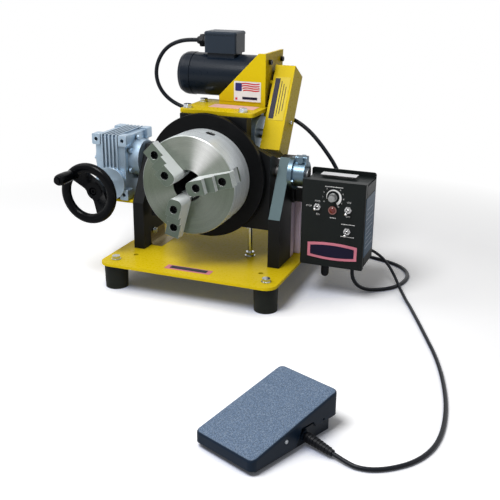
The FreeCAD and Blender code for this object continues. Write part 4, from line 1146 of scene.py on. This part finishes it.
# ---------------------------------------------------------------- stage
KEY_PLACE, KEY_AIM, KEY_SIZE = (-0.2, -1.35, 2.0), (0.05, -0.2, 0.1), 1.1
SIDE_PLACE, SIDE_AIM, SIDE_SIZE = (-1.3, -0.5, 1.7), (0.1, -0.2, 0.1), 1.2
CAMERA_AIM = Vector((0.1484, -0.198, 0.0817))


class POSITIONER_OT_set_stage(Operator):
    """Lay the pale floor, hang the soft lights and stand the camera"""
    bl_idname = "positioner.set_stage"
    bl_label = "Set stage"

    def execute(self, context):
        stage = context.scene.positioner_stage
        self.stand_camera(context.scene, stage)
        self.lay_floor()
        self.light_sky(context.scene, stage.sky)
        self.hang_light("key_light", KEY_PLACE, KEY_AIM, KEY_SIZE, stage.key)
        self.hang_light("side_light", SIDE_PLACE, SIDE_AIM, SIDE_SIZE, stage.side)
        context.scene.view_settings.view_transform = "Standard"
        return {"FINISHED"}

    def lay_floor(self):
        builder = bmesh.new()
        bmesh.ops.create_grid(builder, x_segments=1, y_segments=1, size=30.0)
        bmesh.ops.translate(builder, vec=(0, 0, FLOOR - 0.0002), verts=builder.verts)
        mesh = bpy.data.meshes.new("studio_floor")
        builder.to_mesh(mesh)
        builder.free()
        mesh.materials.append(self.floor_material())
        floor = put("studio_floor", mesh)

    @staticmethod
    def floor_material():
        """White matt floor that keeps the machine's real shadow, adds painted shade where parts crowd close
        over it, and turns to plain white further out.
        """
        material = bpy.data.materials.new("studio floor")
        material.use_nodes = True
        tree = material.node_tree
        tree.nodes.remove(tree.nodes["Principled BSDF"])
        path = add(tree, "LightPath").outputs
        seen = math_node(tree, "MAXIMUM", path["Is Camera Ray"],
                         math_node(tree, "MAXIMUM", path["Is Glossy Ray"], path["Is Transmission Ray"]))
        place = add(tree, "TexCoord").outputs["Object"]
        away = add(tree, "VectorMath", {0: place, 1: (0.15, -0.2, FLOOR)}, operation="DISTANCE").outputs
        far = times(tree, seen, spread(tree, away["Value"], 0.0, 1.0, 0.70, 1.25))
        # painted shade: to the camera the floor darkens to blue-grey where the machine stands close over it
        clear = spread(tree, open_air(tree, 0.16, 8), 0.0, 1.0, 0.10, 0.80)
        painted_shade_albedo = blend_colours(tree, clear, (0.16, 0.22, 0.42), (1.25, 1.25, 1.26))
        albedo = blend_colours(tree, path["Is Camera Ray"], (0.80, 0.80, 0.81), painted_shade_albedo)
        albedo = blend_colours(tree, path["Is Glossy Ray"], albedo, (0.55, 0.55, 0.56))
        matt = add(tree, "BsdfDiffuse", {"Color": albedo}).outputs[0]
        lift = add(tree, "Emission", {"Color": rgba((1, 1, 1)), "Strength": times(tree, seen, 0.05)}).outputs
        near = add(tree, "AddShader", {0: matt, 1: lift[0]}).outputs[0]
        white = add(tree, "Emission", {"Color": rgba((1, 1, 1)), "Strength": 1.0}).outputs[0]
        shader = add(tree, "MixShader", {0: far, 1: near, 2: white}).outputs[0]
        tree.links.new(shader, tree.nodes["Material Output"].inputs["Surface"])
        return material

    @staticmethod
    def light_sky(scene, strength):
        """Even light all round; the camera and clear parts see it white, metal sees it darker in front."""
        scene.world = bpy.data.worlds.new("studio sky")
        scene.world.use_nodes = True
        tree = scene.world.node_tree
        path = add(tree, "LightPath").outputs
        seen = math_node(tree, "MAXIMUM", path["Is Camera Ray"], path["Is Transmission Ray"])
        axes = axes_of(tree, add(tree, "TexCoord").outputs["Generated"])
        behind = spread(tree, math_node(tree, "ADD", axes[1], axes[2]), 0.40, 1.0, -0.9, 0.7)
        lit = {0: path["Is Glossy Ray"], 2: strength, 3: behind}
        level = add(tree, "Mix", lit, data_type="FLOAT").outputs[0]
        level = add(tree, "Mix", {0: seen, 2: level, 3: 1.0}, data_type="FLOAT").outputs[0]
        fill(tree, tree.nodes["Background"], {"Strength": level, "Color": rgba((1, 1, 1))})

    @staticmethod
    def hang_light(name, place, target, size, power):
        lamp = bpy.data.lights.new(name, "AREA")
        lamp.shape = "DISK"
        lamp.size = size
        lamp.energy = power
        holder = put(name, lamp)
        holder.location = place
        direction = Vector(target) - Vector(place)
        holder.rotation_euler = direction.to_track_quat("-Z", "Y").to_euler()

    @staticmethod
    def stand_camera(scene, stage):
        look = bpy.data.cameras.new("studio_camera")
        look.lens = stage.lens
        look.sensor_width = 36.0
        look.clip_end = 100.0
        camera = put("studio_camera", look)
        turn, lift = stage.azimuth, stage.elevation
        away = Vector((math.sin(turn) * math.cos(lift), -math.cos(turn) * math.cos(lift), math.sin(lift)))
        upright = (-away).to_track_quat("-Z", "Y").to_matrix()
        rolled = upright @ Matrix.Rotation(stage.roll, 3, "Z")
        camera.matrix_world = Matrix.Translation(CAMERA_AIM + away * stage.distance) @ rolled.to_4x4()
        scene.camera = camera


# ---------------------------------------------------------------- add-on
class POSITIONER_PT_finish(Panel):
    """Steps that finish the positioner, in order"""
    bl_idname = "POSITIONER_PT_finish"
    bl_label = "Welding positioner"
    bl_space_type = "VIEW_3D"
    bl_region_type = "UI"
    bl_category = "Positioner"

    def draw(self, context):
        scene = context.scene
        for operator in STEPS:
            self.layout.operator(operator.bl_idname)
        for settings in (scene.positioner_finish, scene.positioner_cords, scene.positioner_stage):
            for name in settings.bl_rna.properties.keys():
                if name not in ("rna_type", "name"):
                    self.layout.prop(settings, name)


STEPS = (POSITIONER_OT_set_stage, POSITIONER_OT_paint_parts, POSITIONER_OT_run_cords,
         POSITIONER_OT_fit_plates, POSITIONER_OT_fit_earth_strap, POSITIONER_OT_mark_panel)
SETTINGS = (FinishSettings, CordSettings, StageSettings)


def register():
    for item in SETTINGS + STEPS + (POSITIONER_PT_finish,):
        bpy.utils.register_class(item)
    bpy.types.Scene.positioner_finish = PointerProperty(type=FinishSettings)
    bpy.types.Scene.positioner_cords = PointerProperty(type=CordSettings)
    bpy.types.Scene.positioner_stage = PointerProperty(type=StageSettings)


def unregister():
    del bpy.types.Scene.positioner_stage
    del bpy.types.Scene.positioner_cords
    del bpy.types.Scene.positioner_finish
    for item in reversed(SETTINGS + STEPS + (POSITIONER_PT_finish,)):
        bpy.utils.unregister_class(item)


def main():
    register()
    bpy.ops.positioner.set_stage()
    bpy.ops.positioner.paint_parts()
    bpy.ops.positioner.run_cords()
    bpy.ops.positioner.fit_plates()
    bpy.ops.positioner.fit_earth_strap()
    bpy.ops.positioner.mark_panel()


if __name__ == "__main__":
    main()
